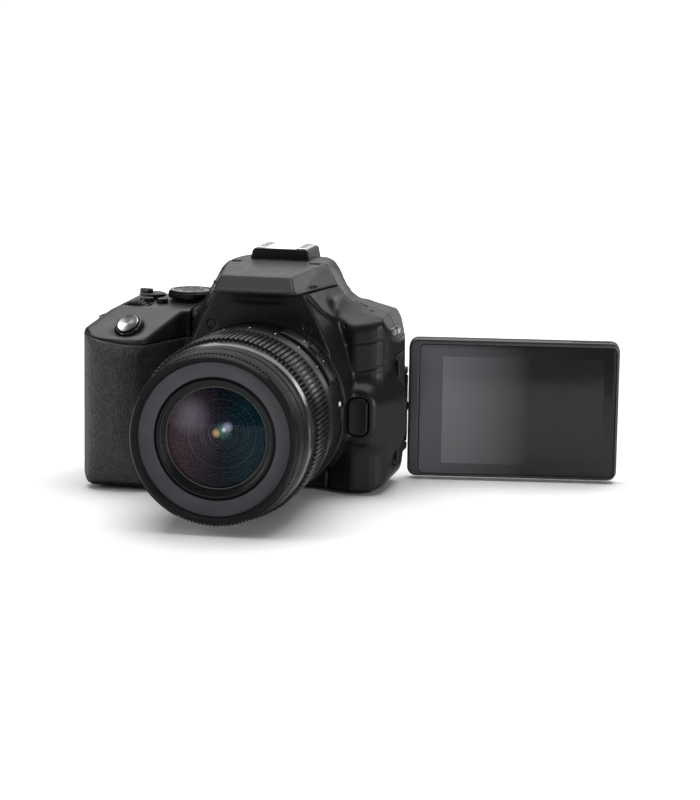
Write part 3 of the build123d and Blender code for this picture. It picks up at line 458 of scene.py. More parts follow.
def outline_distance(outline, a, b):
    """Signed distance to a closed outline on a flat grid, negative inside."""
    outline = rounded(outline)
    a, b = np.meshgrid(a, b, indexing="ij")
    nearest = np.full(a.shape, 1e9)
    inside = np.zeros(a.shape, bool)
    for (x0, y0), (x1, y1) in zip(outline, np.roll(outline, -1, axis=0)):
        dx, dy = x1 - x0, y1 - y0
        share = np.clip(((a - x0) * dx + (b - y0) * dy) / (dx * dx + dy * dy + 1e-12), 0, 1)
        nearest = np.minimum(nearest, np.hypot(a - x0 - share * dx, b - y0 - share * dy))
        if y0 != y1:
            inside ^= ((y0 > b) != (y1 > b)) & (a < dx * (b - y0) / dy + x0)
    return np.where(inside, -nearest, nearest).astype(np.float32)


# ---- distance fields ----
def both(a, b, radius=0.5):
    """What is inside both, with a rounded edge between them."""
    if radius <= 0:
        return np.maximum(a, b)
    corner = np.sqrt(np.maximum(a + radius, 0) ** 2 + np.maximum(b + radius, 0) ** 2)
    return np.minimum(np.maximum(a, b) + radius, 0) + corner - radius


def either(a, b, radius=0.5):
    """What is inside one or the other, with a fillet between them."""
    return -both(-a, -b, radius)


def cut(a, b, radius=0.4):
    """The first with the second taken away, with a rounded edge."""
    return both(a, -b, radius)


class Space:
    """A block of space sampled on a grid, in millimetres, in which shapes are distance fields."""

    def __init__(self, low, high, step):
        self.low, self.step = np.array(low, float), step
        self.axes = [np.arange(a, b, step, dtype=np.float32) for a, b in zip(low, high)]
        self.x, self.y, self.z = np.ix_(*self.axes)

    def along_z(self, outline):
        return outline_distance(outline, self.axes[0], self.axes[1])[:, :, None]

    def along_y(self, outline):
        return outline_distance(outline, self.axes[0], self.axes[2])[:, None, :]

    def along_x(self, outline):
        return outline_distance(outline, self.axes[1], self.axes[2])[None, :, :]

    def block(self, x=None, y=None, z=None, radius=0.0):
        """Block between limits; a side left out has none."""
        made = None
        for values, limits in ((self.x, x), (self.y, y), (self.z, z)):
            if limits is None:
                continue
            side = np.maximum(limits[0] - values, values - limits[1])
            made = side if made is None else both(made, side, radius)
        return made

    def rod(self, point, direction, radius, start, end, edge=0.0):
        """Round bar along a direction through a point, between two places along it."""
        d = np.array(direction, float) / np.linalg.norm(direction)
        x, y, z = self.x - point[0], self.y - point[1], self.z - point[2]
        along = x * d[0] + y * d[1] + z * d[2]
        across = np.sqrt(np.maximum(x * x + y * y + z * z - along * along, 0)) - radius
        return both(across, np.maximum(start - along, along - end), edge)

    def tilted(self, point, x_dir, z_dir, half, radius):
        """Block about a point, turned to two of its own directions."""
        z_dir = np.array(z_dir, float) / np.linalg.norm(z_dir)
        x_dir = np.array(x_dir, float) / np.linalg.norm(x_dir)
        x, y, z = self.x - point[0], self.y - point[1], self.z - point[2]
        made = None
        for d, reach in zip((x_dir, np.cross(z_dir, x_dir), z_dir), half):
            side = np.abs(x * d[0] + y * d[1] + z * d[2]) - reach
            made = side if made is None else both(made, side, radius)
        return made

    def off_axis(self):
        """Distance from the lens axis."""
        return np.hypot(self.x, self.z - AXIS_Z)

    def ball(self, centre, radii):
        """Egg shape; its distance is only true near its surface."""
        x, y, z = ((v - c) / r for v, c, r in zip((self.x, self.y, self.z), centre, radii))
        return (np.sqrt(x * x + y * y + z * z) - 1) * min(radii)

    def mesh(self, field):
        """Mesh of a field's surface, in metres, with normals taken from the field itself."""
        field = np.ascontiguousarray(np.broadcast_to(field, [len(a) for a in self.axes]), np.float32)
        grid = openvdb.FloatGrid(4.0)
        grid.copyFromArray(np.clip(field, -4, 4))
        points, triangles, quads = grid.convertToPolygons(isovalue=0.0, adaptivity=0.0)
        base = np.clip(np.floor(points).astype(int), 1, np.array(field.shape) - 3)
        share = points - base
        normals = np.zeros_like(points)
        for corner in np.ndindex(2, 2, 2):
            weight = np.prod(np.where(corner, share, 1 - share), axis=1)
            i, j, k = (base + corner).T
            slope = [field[i + 1, j, k] - field[i - 1, j, k], field[i, j + 1, k] - field[i, j - 1, k],
                     field[i, j, k + 1] - field[i, j, k - 1]]
            normals += weight[:, None] * np.stack(slope, axis=1)
        normals /= np.maximum(np.linalg.norm(normals, axis=1, keepdims=True), 1e-9)
        made = bpy.data.meshes.new("field")
        places = (self.low + points * self.step) * MM
        loops = np.concatenate([quads.ravel(), triangles.ravel()])
        sizes = np.concatenate([np.full(len(quads), 4), np.full(len(triangles), 3)])
        made.vertices.add(len(places))
        made.vertices.foreach_set("co", places.astype(np.float32).ravel())
        made.loops.add(len(loops))
        made.loops.foreach_set("vertex_index", loops.astype(np.int32))
        made.polygons.add(len(sizes))
        made.polygons.foreach_set("loop_start", (np.cumsum(sizes) - sizes).astype(np.int32))
        made.update(calc_edges=True)
        made.shade_smooth()
        made.normals_split_custom_set_from_vertices([tuple(n) for n in normals])
        return made


# ---- pieces ----
SLOTS = {                        # finish: material slot
    "body": "body_plastic", "top": "top_plastic", "grip": "grip_rubber", "thumb": "grip_rubber",
    "soft": "soft_rubber", "lens": "lens_plastic", "matte": "lens_plastic", "zoom_rubber": "lens_plastic",
    "collar": "lens_plastic", "bezel": "lens_plastic", "baffle": "lens_plastic", "name": "name_plastic",
    "white": "name_plastic", "grey_mark": "name_plastic", "gloss": "gloss_black", "frame": "body_plastic",
    "screen_glass": "glass", "front_coating": "glass", "inner_coating": "glass", "core_coating": "glass",
    "display": "display", "pane": "clear", "cap": "brushed_cap", "button": "button_plastic",
    "rim": "bright_metal", "shoe": "bright_metal", "lug": "bright_metal",
}


def show(name, data):
    """Object made from a mesh, a light, a text or a camera, put into the scene."""
    made = bpy.data.objects.new(name, data)
    bpy.context.scene.collection.objects.link(made)
    return made


def piece(name, mesh, finish, body, *stands_for, slot=None):
    """Object from a mesh, with its finish, the body it rides on and the solids it stands for."""
    made = show(name, mesh)
    mesh.name = name
    mesh.materials.append(MATERIALS[finish])
    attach(made, body)
    slot or SLOTS[finish]
    if stands_for:
        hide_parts(*stands_for)
    return made


def crisp(mesh, angle=32):
    mesh.shade_smooth()
    mesh.set_sharp_from_angle(angle=radians(angle))
    return mesh


def at(origin=(0, 0, 0), z_dir=Z, x_dir=X):
    """Placement whose Z is z_dir and whose X is as near x_dir as it can be."""
    z = Vector(z_dir).normalized()
    y = z.cross(Vector(x_dir)).normalized()
    turn = Matrix((y.cross(z), y, z)).transposed().to_4x4()
    return Matrix.Translation(Vector(origin)) @ turn


LENS = at((0, 0, AXIS_Z), Y, X)  # local Z is the frame's Y, local Y is the frame's -Z


def surface(rows, place, closed_rows=True):
    """Mesh through rows of points, each row a closed loop; the last row joins the first if asked."""
    rows = np.array(rows, float)
    count, length = rows.shape[:2]
    ids = np.arange(count * length).reshape(count, length)
    pairs = [(r, (r + 1) % count) for r in range(count if closed_rows else count - 1)]
    faces = [np.stack([ids[a], np.roll(ids[a], -1), np.roll(ids[b], -1), ids[b]], axis=1) for a, b in pairs]
    faces = [tuple(int(i) for i in f) for f in np.concatenate(faces)]
    if not closed_rows:
        faces += [tuple(int(i) for i in ids[0][::-1]), tuple(int(i) for i in ids[-1])]
    made = bpy.data.meshes.new("surface")
    made.from_pydata([tuple((place @ Vector(p)) * MM) for p in rows.reshape(-1, 3)], [], faces)
    made.update()
    return made


def turned(outline, place=LENS, segments=160, shape=None, angles=None, angle=32):
    """Outline of (radius, height) turned about the placement's Z; shape bends the radius round the turn."""
    outline = rounded(outline)
    angles = np.linspace(0, 2 * pi, segments, endpoint=False) if angles is None else np.array(angles)
    rows = []
    for radius, height in outline:
        r = np.full(len(angles), max(radius, 0.004))
        if shape is not None:
            r = shape(angles, r, height)
        rows.append(np.stack([r * np.cos(angles), r * np.sin(angles), np.full(len(angles), height)], axis=1))
    mesh = surface(rows, place)
    if signed_area(outline) > 0:
        mesh.flip_normals()
    return crisp(mesh, angle)


def signed_area(outline):
    a = np.array(outline, float)
    b = np.roll(a, -1, axis=0)
    return float(np.sum(a[:, 0] * b[:, 1] - b[:, 0] * a[:, 1])) / 2


def plate(outline, low, high, place=None, edge=0.35, angle=32):
    """Outline carried from low to high along the placement's Z, with rounded rims."""
    outline = rounded(outline)
    if signed_area(outline) < 0:
        outline = outline[::-1]
    ahead = np.roll(outline, -1, axis=0) - outline
    behind = outline - np.roll(outline, 1, axis=0)
    ahead /= np.maximum(np.linalg.norm(ahead, axis=1, keepdims=True), 1e-9)
    behind /= np.maximum(np.linalg.norm(behind, axis=1, keepdims=True), 1e-9)
    inward = np.stack([-(ahead + behind)[:, 1], (ahead + behind)[:, 0]], axis=1)
    inward /= np.maximum(np.linalg.norm(inward, axis=1, keepdims=True), 1e-9)
    turns = [0, pi / 6, pi / 3, pi / 2]
    levels = [(low + edge * (1 - sin(t)), edge * (1 - cos(t))) for t in reversed(turns)]
    levels += [(high - edge * (1 - sin(t)), edge * (1 - cos(t))) for t in turns]
    rows = [np.column_stack([outline + inward * inset, np.full(len(outline), height)])
            for height, inset in levels]
    return crisp(surface(rows, place or Matrix.Identity(4), closed_rows=False), angle)


def join(meshes):
    """One mesh made of several."""
    points, faces = [], []
    for mesh in meshes:
        faces += [tuple(i + len(points) for i in p.vertices) for p in mesh.polygons]
        points += [v.co.copy() for v in mesh.vertices]
    made = bpy.data.meshes.new("joined")
    made.from_pydata(points, [], faces)
    made.update()
    return crisp(made)


# ---- shells ----
BODY = Space((-74, -55, -2), (54, 16, 92), 0.4)


def seam_height(x):
    """Height of the parting line over the rubber of the grip."""
    return 57.4 + 3.0 * ((x + 47) / 22) ** 2


def hull_field(s):
    """Main case: plan, front view and side views, each cut through the other."""
    grip = both(s.along_x(GRIP_SIDE), s.x + 24, 2)
    hinge = both(s.along_x(HINGE_SIDE), 24 - s.x, 2)
    middle = s.block((-24, 24), (-30, BACK_Y), (0, 75))
    sides = either(either(grip, middle, 0), hinge, 0)
    upright = both(s.along_z(PLAN), s.along_y(FRONT_VIEW), 1.4)
    return both(upright, sides, 1.8)


def hump_field(s):
    """Finder hump: a top that narrows to the front, leaning flanks and the flash's hooked brow."""
    across = np.abs(s.x)
    flank = 0.873 * across - 0.175 * s.y + 0.454 * s.z - 59.3
    pinch = (0.74 * across - 0.67 * s.z + 42.6 - 0.75 * (s.y + 51)) / 1.25
    crown = s.along_x(HUMP_SIDE)
    shoulder = 0.576 * across + 0.818 * s.z - 83.0
    back_flank = 0.853 * across + 0.17 * s.y + 0.494 * s.z - 60.1
    back_corner = 0.6 * across + 0.8 * s.y - 22.0
    made = both(both(crown, flank, 0.7), pinch, 0.5)
    return both(both(both(made, shoulder, 1.5), back_flank, 3), back_corner, 3)


def nose_field(s):
    """Housing round the lens mount: a round drum with a flared shield above it, leaning back at its sides."""
    drum = both(s.off_axis() - 34.4, s.block(y=(NOSE_Y - 0.4, -20)), 0.6)
    flare = (s.along_y(NOSE_FRONT) - 0.26 * np.maximum(s.y - NOSE_Y, 0)) / 1.03
    shield = both(flare, s.block(y=(NOSE_Y, -14)), 0.6)
    scoop = s.ball((0, NOSE_Y - 0.6, 76.4), (10.5, 1.7, 1.9))
    return cut(either(drum, shield, 0.6), scoop, 0.6)


def release_field(s):
    """Bulge that the lens release sits in, with a raised rim."""
    below = np.hypot(s.x - RELEASE_X, s.z - np.clip(s.z, RELEASE_Z - 3.6, RELEASE_Z + 3.6))
    cone = (below - 6.3 - 0.8 * (s.y + 33.9)) / 1.28
    return both(cone, s.block(y=(-33.9, -20)), 1.2)


def outside_field(s):
    """The closed body, before it is hollowed and parted."""
    thumb = s.along_z([(-69.5, 6), (-69.5, 9.5, 2), (-66.5, THUMB_Y, 2), (-43, THUMB_Y, 1.2),
                       (-41.8, 11.5, 1), (-41.8, 6)])
    thumb = both(both(thumb, s.block(z=(1.5, 66)), 1.5), s.along_y(FRONT_VIEW), 1.0)
    strip = s.block((-43, 42), (5, STRIP_Y), (58.2, 69), 0.8)
    made = either(hull_field(s), thumb, 0.8)
    made = either(made, s.rod((0, 0, 0), Z, SOCKET_COLLAR_R, 0, 3), 0.3)
    made = either(made, strip, 0.5)
    made = either(made, hump_field(s), 4.5)
    made = either(made, nose_field(s), 1.5)
    return either(made, release_field(s), 2.2)


def hollow_field(s):
    """Space inside the covers."""
    main = s.block((-30, 45), (-23, BACK_Y - WALL), (WALL, 67.2))
    grip = both(s.along_z(GRIP_HOLLOW), s.block(z=(WALL, 56)), 0)
    grip = both(grip, s.along_x(GRIP_SIDE) + WALL, 0)
    front = both(s.off_axis() - 30.4, s.block(y=(-39.8, -20)), 0)
    finder = s.block((-20.5, 20.5), (-33, 6.5), (60, 76.8))
    return np.minimum(np.minimum(main, grip), np.minimum(front, finder))


def control_pockets(s):
    """Seats of the dials, buttons, lugs and small openings, as (field, edge radius)."""
    for x, z, radius, wall, _ in REAR_BUTTONS.values():
        yield s.rod((x, wall, z), Y, radius + RUN, -2.8, 6), 0.4
    for x, y, radius, _ in TOP_BUTTONS.values():
        yield s.rod((x, y, DECK_Z), Z, radius + RUN, -2.4, 6), 0.4
    yield s.rod((PAD_X, THUMB_Y, PAD_Z), Y, 9.95, -2.6, 5), 0.5
    yield s.rod((MODE_X, MODE_Y, DECK_Z), Z, MODE_R + RUN, 0, 20), 0.5
    yield s.rod((POWER_X, POWER_Y, DECK_Z), Z, POWER_R + RUN, 0, 20), 0.5
    yield s.rod(DIAL, Y, DIAL_R + 0.55, -3.6, 3.6), 0.5
    yield s.rod(SHUTTER_AT, SHUTTER_AXIS, SHUTTER_R + RUN, -2.4, 8), 0.5
    yield s.ball(SHUTTER_AT + SHUTTER_AXIS * 4.2, (8.6, 8.6, 8.6)) * 0.6 + 1.0, 1.5
    yield s.block((-11.4, 11.4), (SHOE_LOW[1] - 1.4, 20), (86.6, 95), 0.4), 0.3
    yield s.block((-12.4, 12.4), (2, 20), (64, 80), 1.5), 0.4
    yield s.rod(((DIOPTER[0][0] + DIOPTER[1][0]) / 2 + 2.0, 6.6, 77), X, 3.95, -2.4, 8), 0.4
    yield s.block((42.6, 48.4), (2.6, 20), (11.2, 14.4)), 0.2
    yield s.block((42.6, 48.4), (2.6, 20), (41.6, 44.8)), 0.2
    for side in (-1, 1):
        yield s.rod((side * 18.8, NOSE_Y, 66.4), Y, 1.75, -2, 0.35), 0.15
        yield s.rod((side * 30.6, -27, 65.6), Y, 0.5, -6, 3), 0.15
    for x, y in ((31.2, -9.5), (33.2, -11.0), (35.2, -12.5), (38.6, -17.0)):
        yield s.tilted((x, y, 72), (0.8, -0.6, 0), Z, (0.9, 0.45, 3.0), 0.2), 0.2


def shells(s):
    """Covers, rubber, side cover and flash head, parted from one body."""
    outside = outside_field(s)
    body = outside
    for field, edge in control_pockets(s):
        body = cut(body, field, edge)
    plate_edge = np.maximum(np.abs(s.along_y(NAMEPLATE)) - 0.26, s.y + 15)
    body = cut(body, both(plate_edge, -(outside + 0.4), 0), 0.1)
    body = cut(body, both(s.off_axis() - 32.9, s.block(y=(-60, -41.1)), 0), 0.5)
    body = cut(body, both(s.off_axis() - 28.9, s.block(y=(-60, -19)), 0), 0.2)
    release = s.along_y(rectangle(RELEASE_LOW[0] - RUN, RELEASE_HIGH[0] + RUN, RELEASE_LOW[2] - RUN,
                                  RELEASE_HIGH[2] + RUN, 3.0))
    body = cut(body, both(release, s.block(y=(-45, -27.6)), 0), 0.5)
    flash_zone = either(s.block(y=(-60, FLASH_Y), z=(FLASH_FLOOR + 0.17, 99)),
                        s.rod((0, FLASH_Y, FLASH_Z), X, PIVOT_R + 0.17, -28, 28), 0)
    flash = both(body, flash_zone + 0.17, 0.25)
    flash = cut(flash, s.block((-13, 13), (-40, -20), (70, 84.5)), 0.4)
    flash = cut(flash, s.block((-12.2, 12.2), (-50.2, -43.8), (70, 81.4)), 0.2)
    for side in (-1, 1):
        ear = sorted((side * 13.6, side * 17.6))
        flash = cut(flash, s.block(ear, (FLASH_Y - 2.6, 0), (70, FLASH_Z + 1.2)), 0.2)
        nub = s.tilted((side * 19.2, -33.5, 81.3), (0, 0.97, -0.2), (0.87 * side, -0.17, 0.45),
                       (2.0, 0.6, 1.2), 0.5)
        flash = either(flash, nub, 0.5)
    rest = cut(cut(body, flash_zone, 0.3), hollow_field(s), 0.3)
    rest = cut(rest, s.rod((0, FLASH_Y, FLASH_Z), X, PIVOT_R + RUN, -28, 28), 0.2)
    for side in (-1, 1):
        ear = sorted((side * 14, side * 17.2))
        rest = np.minimum(rest, s.block(ear, (FLASH_Y - 0.9, FLASH_Y + 0.9), (FLASH_FLOOR - 1, FLASH_Z)))
        rest = np.minimum(rest, s.block(ear, (FLASH_Y - 0.9, FLASH_Y + 3), (FLASH_FLOOR - 1, FLASH_Z - 2.9)))
        rest = np.minimum(rest, s.rod((side * 15.6, FLASH_Y, FLASH_Z), X, 0.9, -1.6, 1.6))
    terminal_zone = s.block((48.0, 60), (-19.2, -3.5), (10, 54), 1.5)
    terminal = both(cut(body, hollow_field(s), 0.3), terminal_zone + 0.15, 0.3)
    terminal = either(terminal, s.rod((49.9, -18.2, 12), Z, 0.7, 0, 40), 0)
    rest = cut(rest, s.block((47.85, 60), (-19.35, -3.35), (9.85, 54.15), 1.5), 0.3)
    door = s.block((DOOR_LOW[0] - 0.3, DOOR_HIGH[0] + RUN), (DOOR_LOW[1] - RUN, DOOR_HIGH[1] + RUN),
                   (-2, 4), 0.6)
    rest = cut(cut(rest, door, 0.2), s.rod((0, 0, 0), Z, 7.0, -2, 4), 0.2)
    rubber_zone = both(s.along_z([(-80, 2), (-80, -60), (-30, -60), (-30.5, -27, 1), (-42, -20, 3),
                                  (-64, 2)]), s.z - seam_height(s.x), 0)
    rubber_zone = both(np.maximum(rubber_zone, 2.6 - s.z), -(outside + 1.5), 0)
    bottom_zone = s.z - 1.6
    top_line = np.where(s.x < -31, seam_height(s.x), FLASH_FLOOR)
    front_zone = np.maximum(s.y + np.where(s.x < 0, 14, 12), s.z - top_line)
    top_zone = np.maximum(np.minimum(60 - s.z, s.y + 14), -front_zone)
    parts = {}
    for name, zone in (("bottom", bottom_zone), ("rubber", rubber_zone), ("front", front_zone),
                       ("top", top_zone)):
        parts[name] = both(rest, zone + GAP, SEAM_EDGE)
        rest = both(rest, GAP - zone, SEAM_EDGE)
    parts["rear"] = rest
    return parts, flash, terminal


def body_pieces():
    """The moulded pieces of the body."""
    parts, flash, terminal = shells(BODY)
    for name, finish, node in (("front", "body", "front_cover"), ("rear", "body", "rear_cover"),
                               ("top", "top", "top_cover"), ("bottom", "body", "bottom_cover"),
                               ("rubber", "grip", "grip_rubber")):
        piece(name + "_shell", BODY.mesh(parts[name]), finish, "camera_body", node)
    piece("flash_shell", BODY.mesh(flash), "top", "flash", "flash_head")
    piece("side_cover", BODY.mesh(terminal), "soft", "terminal_flap", "terminal_cover")


# ---- lens ----
def clock(degrees):
    """Turn about the lens placement for a place so many degrees from the top towards +X."""
    return radians(degrees - 90)


def sector(outline, start, end, round_end=1.2, base=None, steps=40):
    """Part of a turned outline between two clock angles, its ends rounded off towards a base radius."""
    outline = rounded(outline)
    reach = max(outline[:, 0])
    base = min(outline[:, 0]) if base is None else base
    rows = []
    for t in np.linspace(0, 1, steps):
        angle = start + (end - start) * (0.5 - 0.5 * cos(pi * t))
        from_end = radians(min(angle - start, end - angle)) * reach
        share = 1.0 if from_end > round_end else max(0.02, (1 - (1 - from_end / round_end) ** 2) ** 0.5)
        turn = clock(angle)
        radii = base + (outline[:, 0] - base) * share
        rows.append([(r * cos(turn), r * sin(turn), height) for r, height in zip(radii, outline[:, 1])])
    mesh = surface(rows, LENS, closed_rows=False)
    if signed_area(outline) > 0:
        mesh.flip_normals()
    return crisp(mesh)


def mark(half_wide, y0, y1, angle, radius, lift=0.06):
    """Thin printed mark on a round surface."""
    outline = rectangle(radius - 0.2, radius + lift, y0, y1)
    spread = half_wide / radius * 180 / pi
    return sector(outline, angle - spread, angle + spread, 0.01, steps=4)


def rib_angles(count, pitch_parts):
    """Turn angles that fall on every edge of evenly spaced ribs."""
    return [2 * pi * (i + part) / count for i in range(count) for part in pitch_parts]


def lens_pieces():
    lens_back()
    zoom_ring()
    front_barrel()
    glass_pieces()


def lens_back():
    """Fixed barrel, its switch housing and its marks."""
    barrel = turned([(23, -46), (33.0, -46, 0.3), (BARREL_R, -47, 0.4), (BARREL_R, BARREL_END, 0.3),
                     (27.4, BARREL_END), (27.4, -90.5), (26.2, -90.5), (26.2, -52), (23, -49)])
    pad = sector([(33.0, -48.4), (34.9, -48.4, 0.5), (35.2, -54, 6), (35.0, -59.7, 0.5), (33.0, -59.7)],
                 20, 68, 1.6)
    piece("fixed_barrel", join([barrel, pad]), "lens", "camera_body", "lens_barrel")
    seat = sector([(34.6, -50.2), (35.28, -50.2, 0.2), (35.28, -57.9, 0.2), (34.6, -57.9)],
                  38.6, 49.4, 0.3, steps=12)
    piece("switch_seat", seat, "gloss", "camera_body")
    teeth = [(34.8, -53.1)]
    for i in range(6):
        teeth += [(36.0, -53.3 - 0.68 * i), (36.0, -53.6 - 0.68 * i), (35.5, -53.7 - 0.68 * i),
                  (35.5, -53.9 - 0.68 * i)]
    teeth += [(36.0, -57.35), (34.8, -57.45)]
    knob = sector(teeth, 39.8, 48.2, 0.3, steps=10)
    piece("switch_knob", knob, "collar", "focus_selector", "focus_switch", slot="button_plastic")
    piece("mount_mark", mark(1.15, -50.6, -47.4, 82.5, BARREL_R), "white", "camera_body")
    piece("index_mark", mark(0.35, -60.3, -57.3, -15, BARREL_R), "white", "camera_body")
    for i, angle in enumerate((35.5, 52.5)):
        piece(f"switch_dot_{i}", mark(0.35, -55.4, -54.6, angle, 35.15), "white", "camera_body")


def zoom_ring():
    """Rubber-ribbed zoom ring with its smooth back edge."""
    root = 32.95
    outline = [(31, -60.95), (33.7, -60.95), (33.9, -61.15), (33.9, -68.8), (33.7, -69.2), (root, -69.4),
               (root, -69.7), (ZOOM_R - 0.25, -69.75), (ZOOM_R, -70.1), (ZOOM_R, -90.1),
               (ZOOM_R - 0.25, -90.45), (root, -90.5), (root, -90.9), (32.7, -91.8), (31, -92)]

    def ribbed(angles, radius, height):
        wave = np.tile([0, 0, 0.75, 1, 1, 0.75], RIBS)
        lifted = root + (radius - root) * wave
        return lifted if -90.47 < height < -69.72 else np.full(len(angles), radius)

    angles = rib_angles(RIBS, (0.0, 0.17, 0.22, 0.28, 0.90, 0.95))
    ring = turned(outline, shape=ribbed, angles=angles, angle=40)
    piece("zoom_grip", ring, "zoom_rubber", "zoom", "zoom_ring")
    for i in range(5):
        angle = -15 + 17 * i
        piece(f"zoom_tick_{i}", mark(0.18, -63.2, -61.4, angle, 33.9), "white", "zoom")


def front_barrel():
    """Telescoping collar, focus ring with its knurl and thread, name ring and inner steps."""
    collar = turned([(27.9, -62.5), (30.4, -62.5), (30.4, -92.7), (32.5, -92.7, 0.2), (33.0, -93.4, 0.3),
                     (32.75, -97.4, 0.2), (32.2, -97.9), (27.9, -97.9)])
    piece("bright_collar", collar, "collar", "extension", "inner_barrel")
    sleeve = turned([(26.0, -98.0), (32.2, -98.0, 0.2), (31.9, FOCUS_BACK, 0.3), (26.0, FOCUS_BACK)])
    piece("collar_front", sleeve, "matte", "extension")
    outline = [(20, -102.75), (31.5, -102.75), (31.75, -103.0), (31.45, -108.4), (31.2, -109.0),
               (31.2, -109.3), (31.55, -109.35), (31.55, -110.35), (31.1, -110.4), (31.05, -110.9),
               (30.6, -111.9), (30.3, -112.4), (30.1, RIM_Y), (28.9, RIM_Y), (28.75, -112.45)]
    for i in range(3):
        outline += [(28.75, -112.1 + 0.75 * i), (28.45, -111.73 + 0.75 * i)]
    outline += [(28.6, THREAD_END), (28.2, THREAD_END), (28.2, -107), (20, -107)]

    def knurled(angles, radius, height):
        wave = np.tile([0, 0, 1, 1], KNURLS)
        lifted = radius - 0.4 * (1 - wave)
        return lifted if -110.36 < height < -109.34 else np.full(len(angles), radius)

    ring = turned(outline, shape=knurled, angles=rib_angles(KNURLS, (0, 0.4, 0.5, 0.9)), angle=38)
    piece("focus_grip", ring, "matte", "front_group", "focus_ring")
    for i, angle in enumerate((-62, 40, 118, 205)):
        lug = sector([(30.2, -110.5), (31.45, -110.5, 0.15), (31.3, -111.5, 0.2), (30.4, -111.9)],
                     angle, angle + 34, 0.8, base=30.1)
        piece(f"hood_lug_{i}", lug, "matte", "front_group")
    name = turned([(28.15, -107.1), (28.15, -109.9, 0.15), (22.6, -108.9, 0.2), (22.6, -107.1)])
    piece("name_cone", name, "name", "front_group", "name_ring")
    steps = [(22.4, -107.0), (22.4, -108.1), (21.9, -108.3), (21.5, -108.9), (20.9, -108.9), (20.7, -108.2),
             (20.0, -107.9), (19.8, -107.3), (19.3, -107.2), (19.2, -106.4), (18.9, -106.3), (18.9, -105.6),
             (22.4, -105.6)]
    piece("inner_steps", turned(rounded(steps, 0.12)), "lens", "front_group")
    bezel = turned([(18.35, -105.0), (18.35, -106.3, 0.1), (18.9, -106.3, 0.1), (18.9, -105.0)])
    piece("glass_bezel", bezel, "bezel", "front_group")


def dome(radius, edge_y, height, depth=1.0, segments=96):
    """Lens element: a shallow cap standing height over its edge, flat behind."""
    curve = (radius ** 2 + height ** 2) / (2 * height)
    steps = 16
    cap = [(radius * i / steps, edge_y - (curve ** 2 - (radius * i / steps) ** 2) ** 0.5 + curve - height)
           for i in range(steps + 1)]
    return turned(cap + [(radius, edge_y + depth), (0, edge_y + depth)], segments=segments)


def glass_pieces():
    """Front element and what shows through it: a stepped baffle and two inner elements."""
    front = piece("front_element", dome(18.35, -105.6, 2.6), "front_coating", "front_group", "front_glass")
    front.visible_shadow = False
    baffle = [(18.3, -104.4)]
    for i in range(9):
        r = 17.6 - 0.95 * i
        baffle += [(r, -103.6 + 1.25 * i), (r - 0.35, -103.6 + 1.25 * i)]
    baffle += [(9.0, -92.5), (9.0, -91.5), (18.3, -91.5)]
    piece("baffle", turned(baffle, segments=96), "baffle", "front_group")
    piece("second_element", dome(9.0, -93.4, 2.4), "inner_coating", "front_group")
    piece("third_element", dome(5.2, -96.3, 1.2, 0.4), "core_coating", "front_group")
    rings = [turned([(r, y), (r + 0.12, y - 0.1), (r + 0.24, y), (r + 0.12, y + 0.2)], segments=96)
             for r, y in ((5.2, -96.4), (7.6, -95.6), (9.0, -94.2), (12.6, -98.0))]
    piece("element_rims", join(rings), "rim", "front_group")


# ---- controls ----
def controls():
    shutter_and_dials()
    buttons()
    release_and_lugs()
    shoe()
    finder_parts()
    base_parts()


def shutter_and_dials():
    """Shutter button, main dial, mode dial, power lever and diopter wheel."""
    seat = at(SHUTTER_AT, SHUTTER_AXIS)
    cap = [(0, 1.35), (2.0, 1.4), (3.2, 1.55), (4.0, 1.75), (SHUTTER_R, 1.5), (SHUTTER_R, -0.4), (0, -0.4)]
    piece("shutter_cap", turned(cap, seat, 96, angle=25), "cap", "shutter_key", "shutter_button")
    ring = turned([(4.6, -0.6), (4.6, 0.9, 0.2), (5.2, 0.9, 0.4), (5.4, -0.6)], seat, 96)
    piece("shutter_ring", ring, "gloss", "camera_body")

    def toothed(angles, radius, height):
        wave = np.tile([0, 0, 1, 1], 36)
        return radius - np.where(radius > DIAL_R - 0.8, 0.5, 0) * (1 - wave)

    dial = rounded([(0, -3), (DIAL_R - 0.9, -3), (DIAL_R - 0.3, -2.7), (DIAL_R, -2.2), (DIAL_R, 2.2),
                    (DIAL_R - 0.3, 2.7), (DIAL_R - 0.9, 3), (0, 3)])
    mesh = turned(dial, at(DIAL, Y), shape=toothed, angles=rib_angles(36, (0, 0.35, 0.45, 0.9)))
    piece("main_wheel", mesh, "button", "dial", "main_dial")
    mode_dial()
    lever = at((POWER_X, POWER_Y, DECK_Z))
    disc = turned([(0, 0.35), (POWER_R, 0.35), (POWER_R, 1.3, 0.3), (4.6, 1.65, 0.3), (4.2, 1.4), (0, 1.4)],
                  lever, 96)
    tab = plate(rounded([(-1.7, 0.8), (1.7, 0.8), (1.3, 5.6), (-1.3, 5.6)], 0.5), 0.9, 3.0,
                lever @ Matrix.Rotation(radians(70), 4, "Z"), 0.4)
    piece("power_disc", join([disc, tab]), "button", "power_switch", "power_lever")
    wheel_at = at((DIOPTER[0][0] + 3.8, 6.6, 77), X)

    def notched(angles, radius, height):
        return radius - np.where(radius > 3.2, 0.3, 0) * (1 - np.tile([0, 0, 1, 1], 18))

    wheel = turned([(0, -3.8), (1, -3.8), (1, 0), (3.2, 0), (3.6, 0.4), (3.6, 2.8), (3.2, 3.2), (0, 3.2)],
                   wheel_at, shape=notched, angles=rib_angles(18, (0, 0.3, 0.4, 0.9)))
    piece("diopter_knob", wheel, "soft", "diopter_wheel", "diopter_dial", slot="button_plastic")


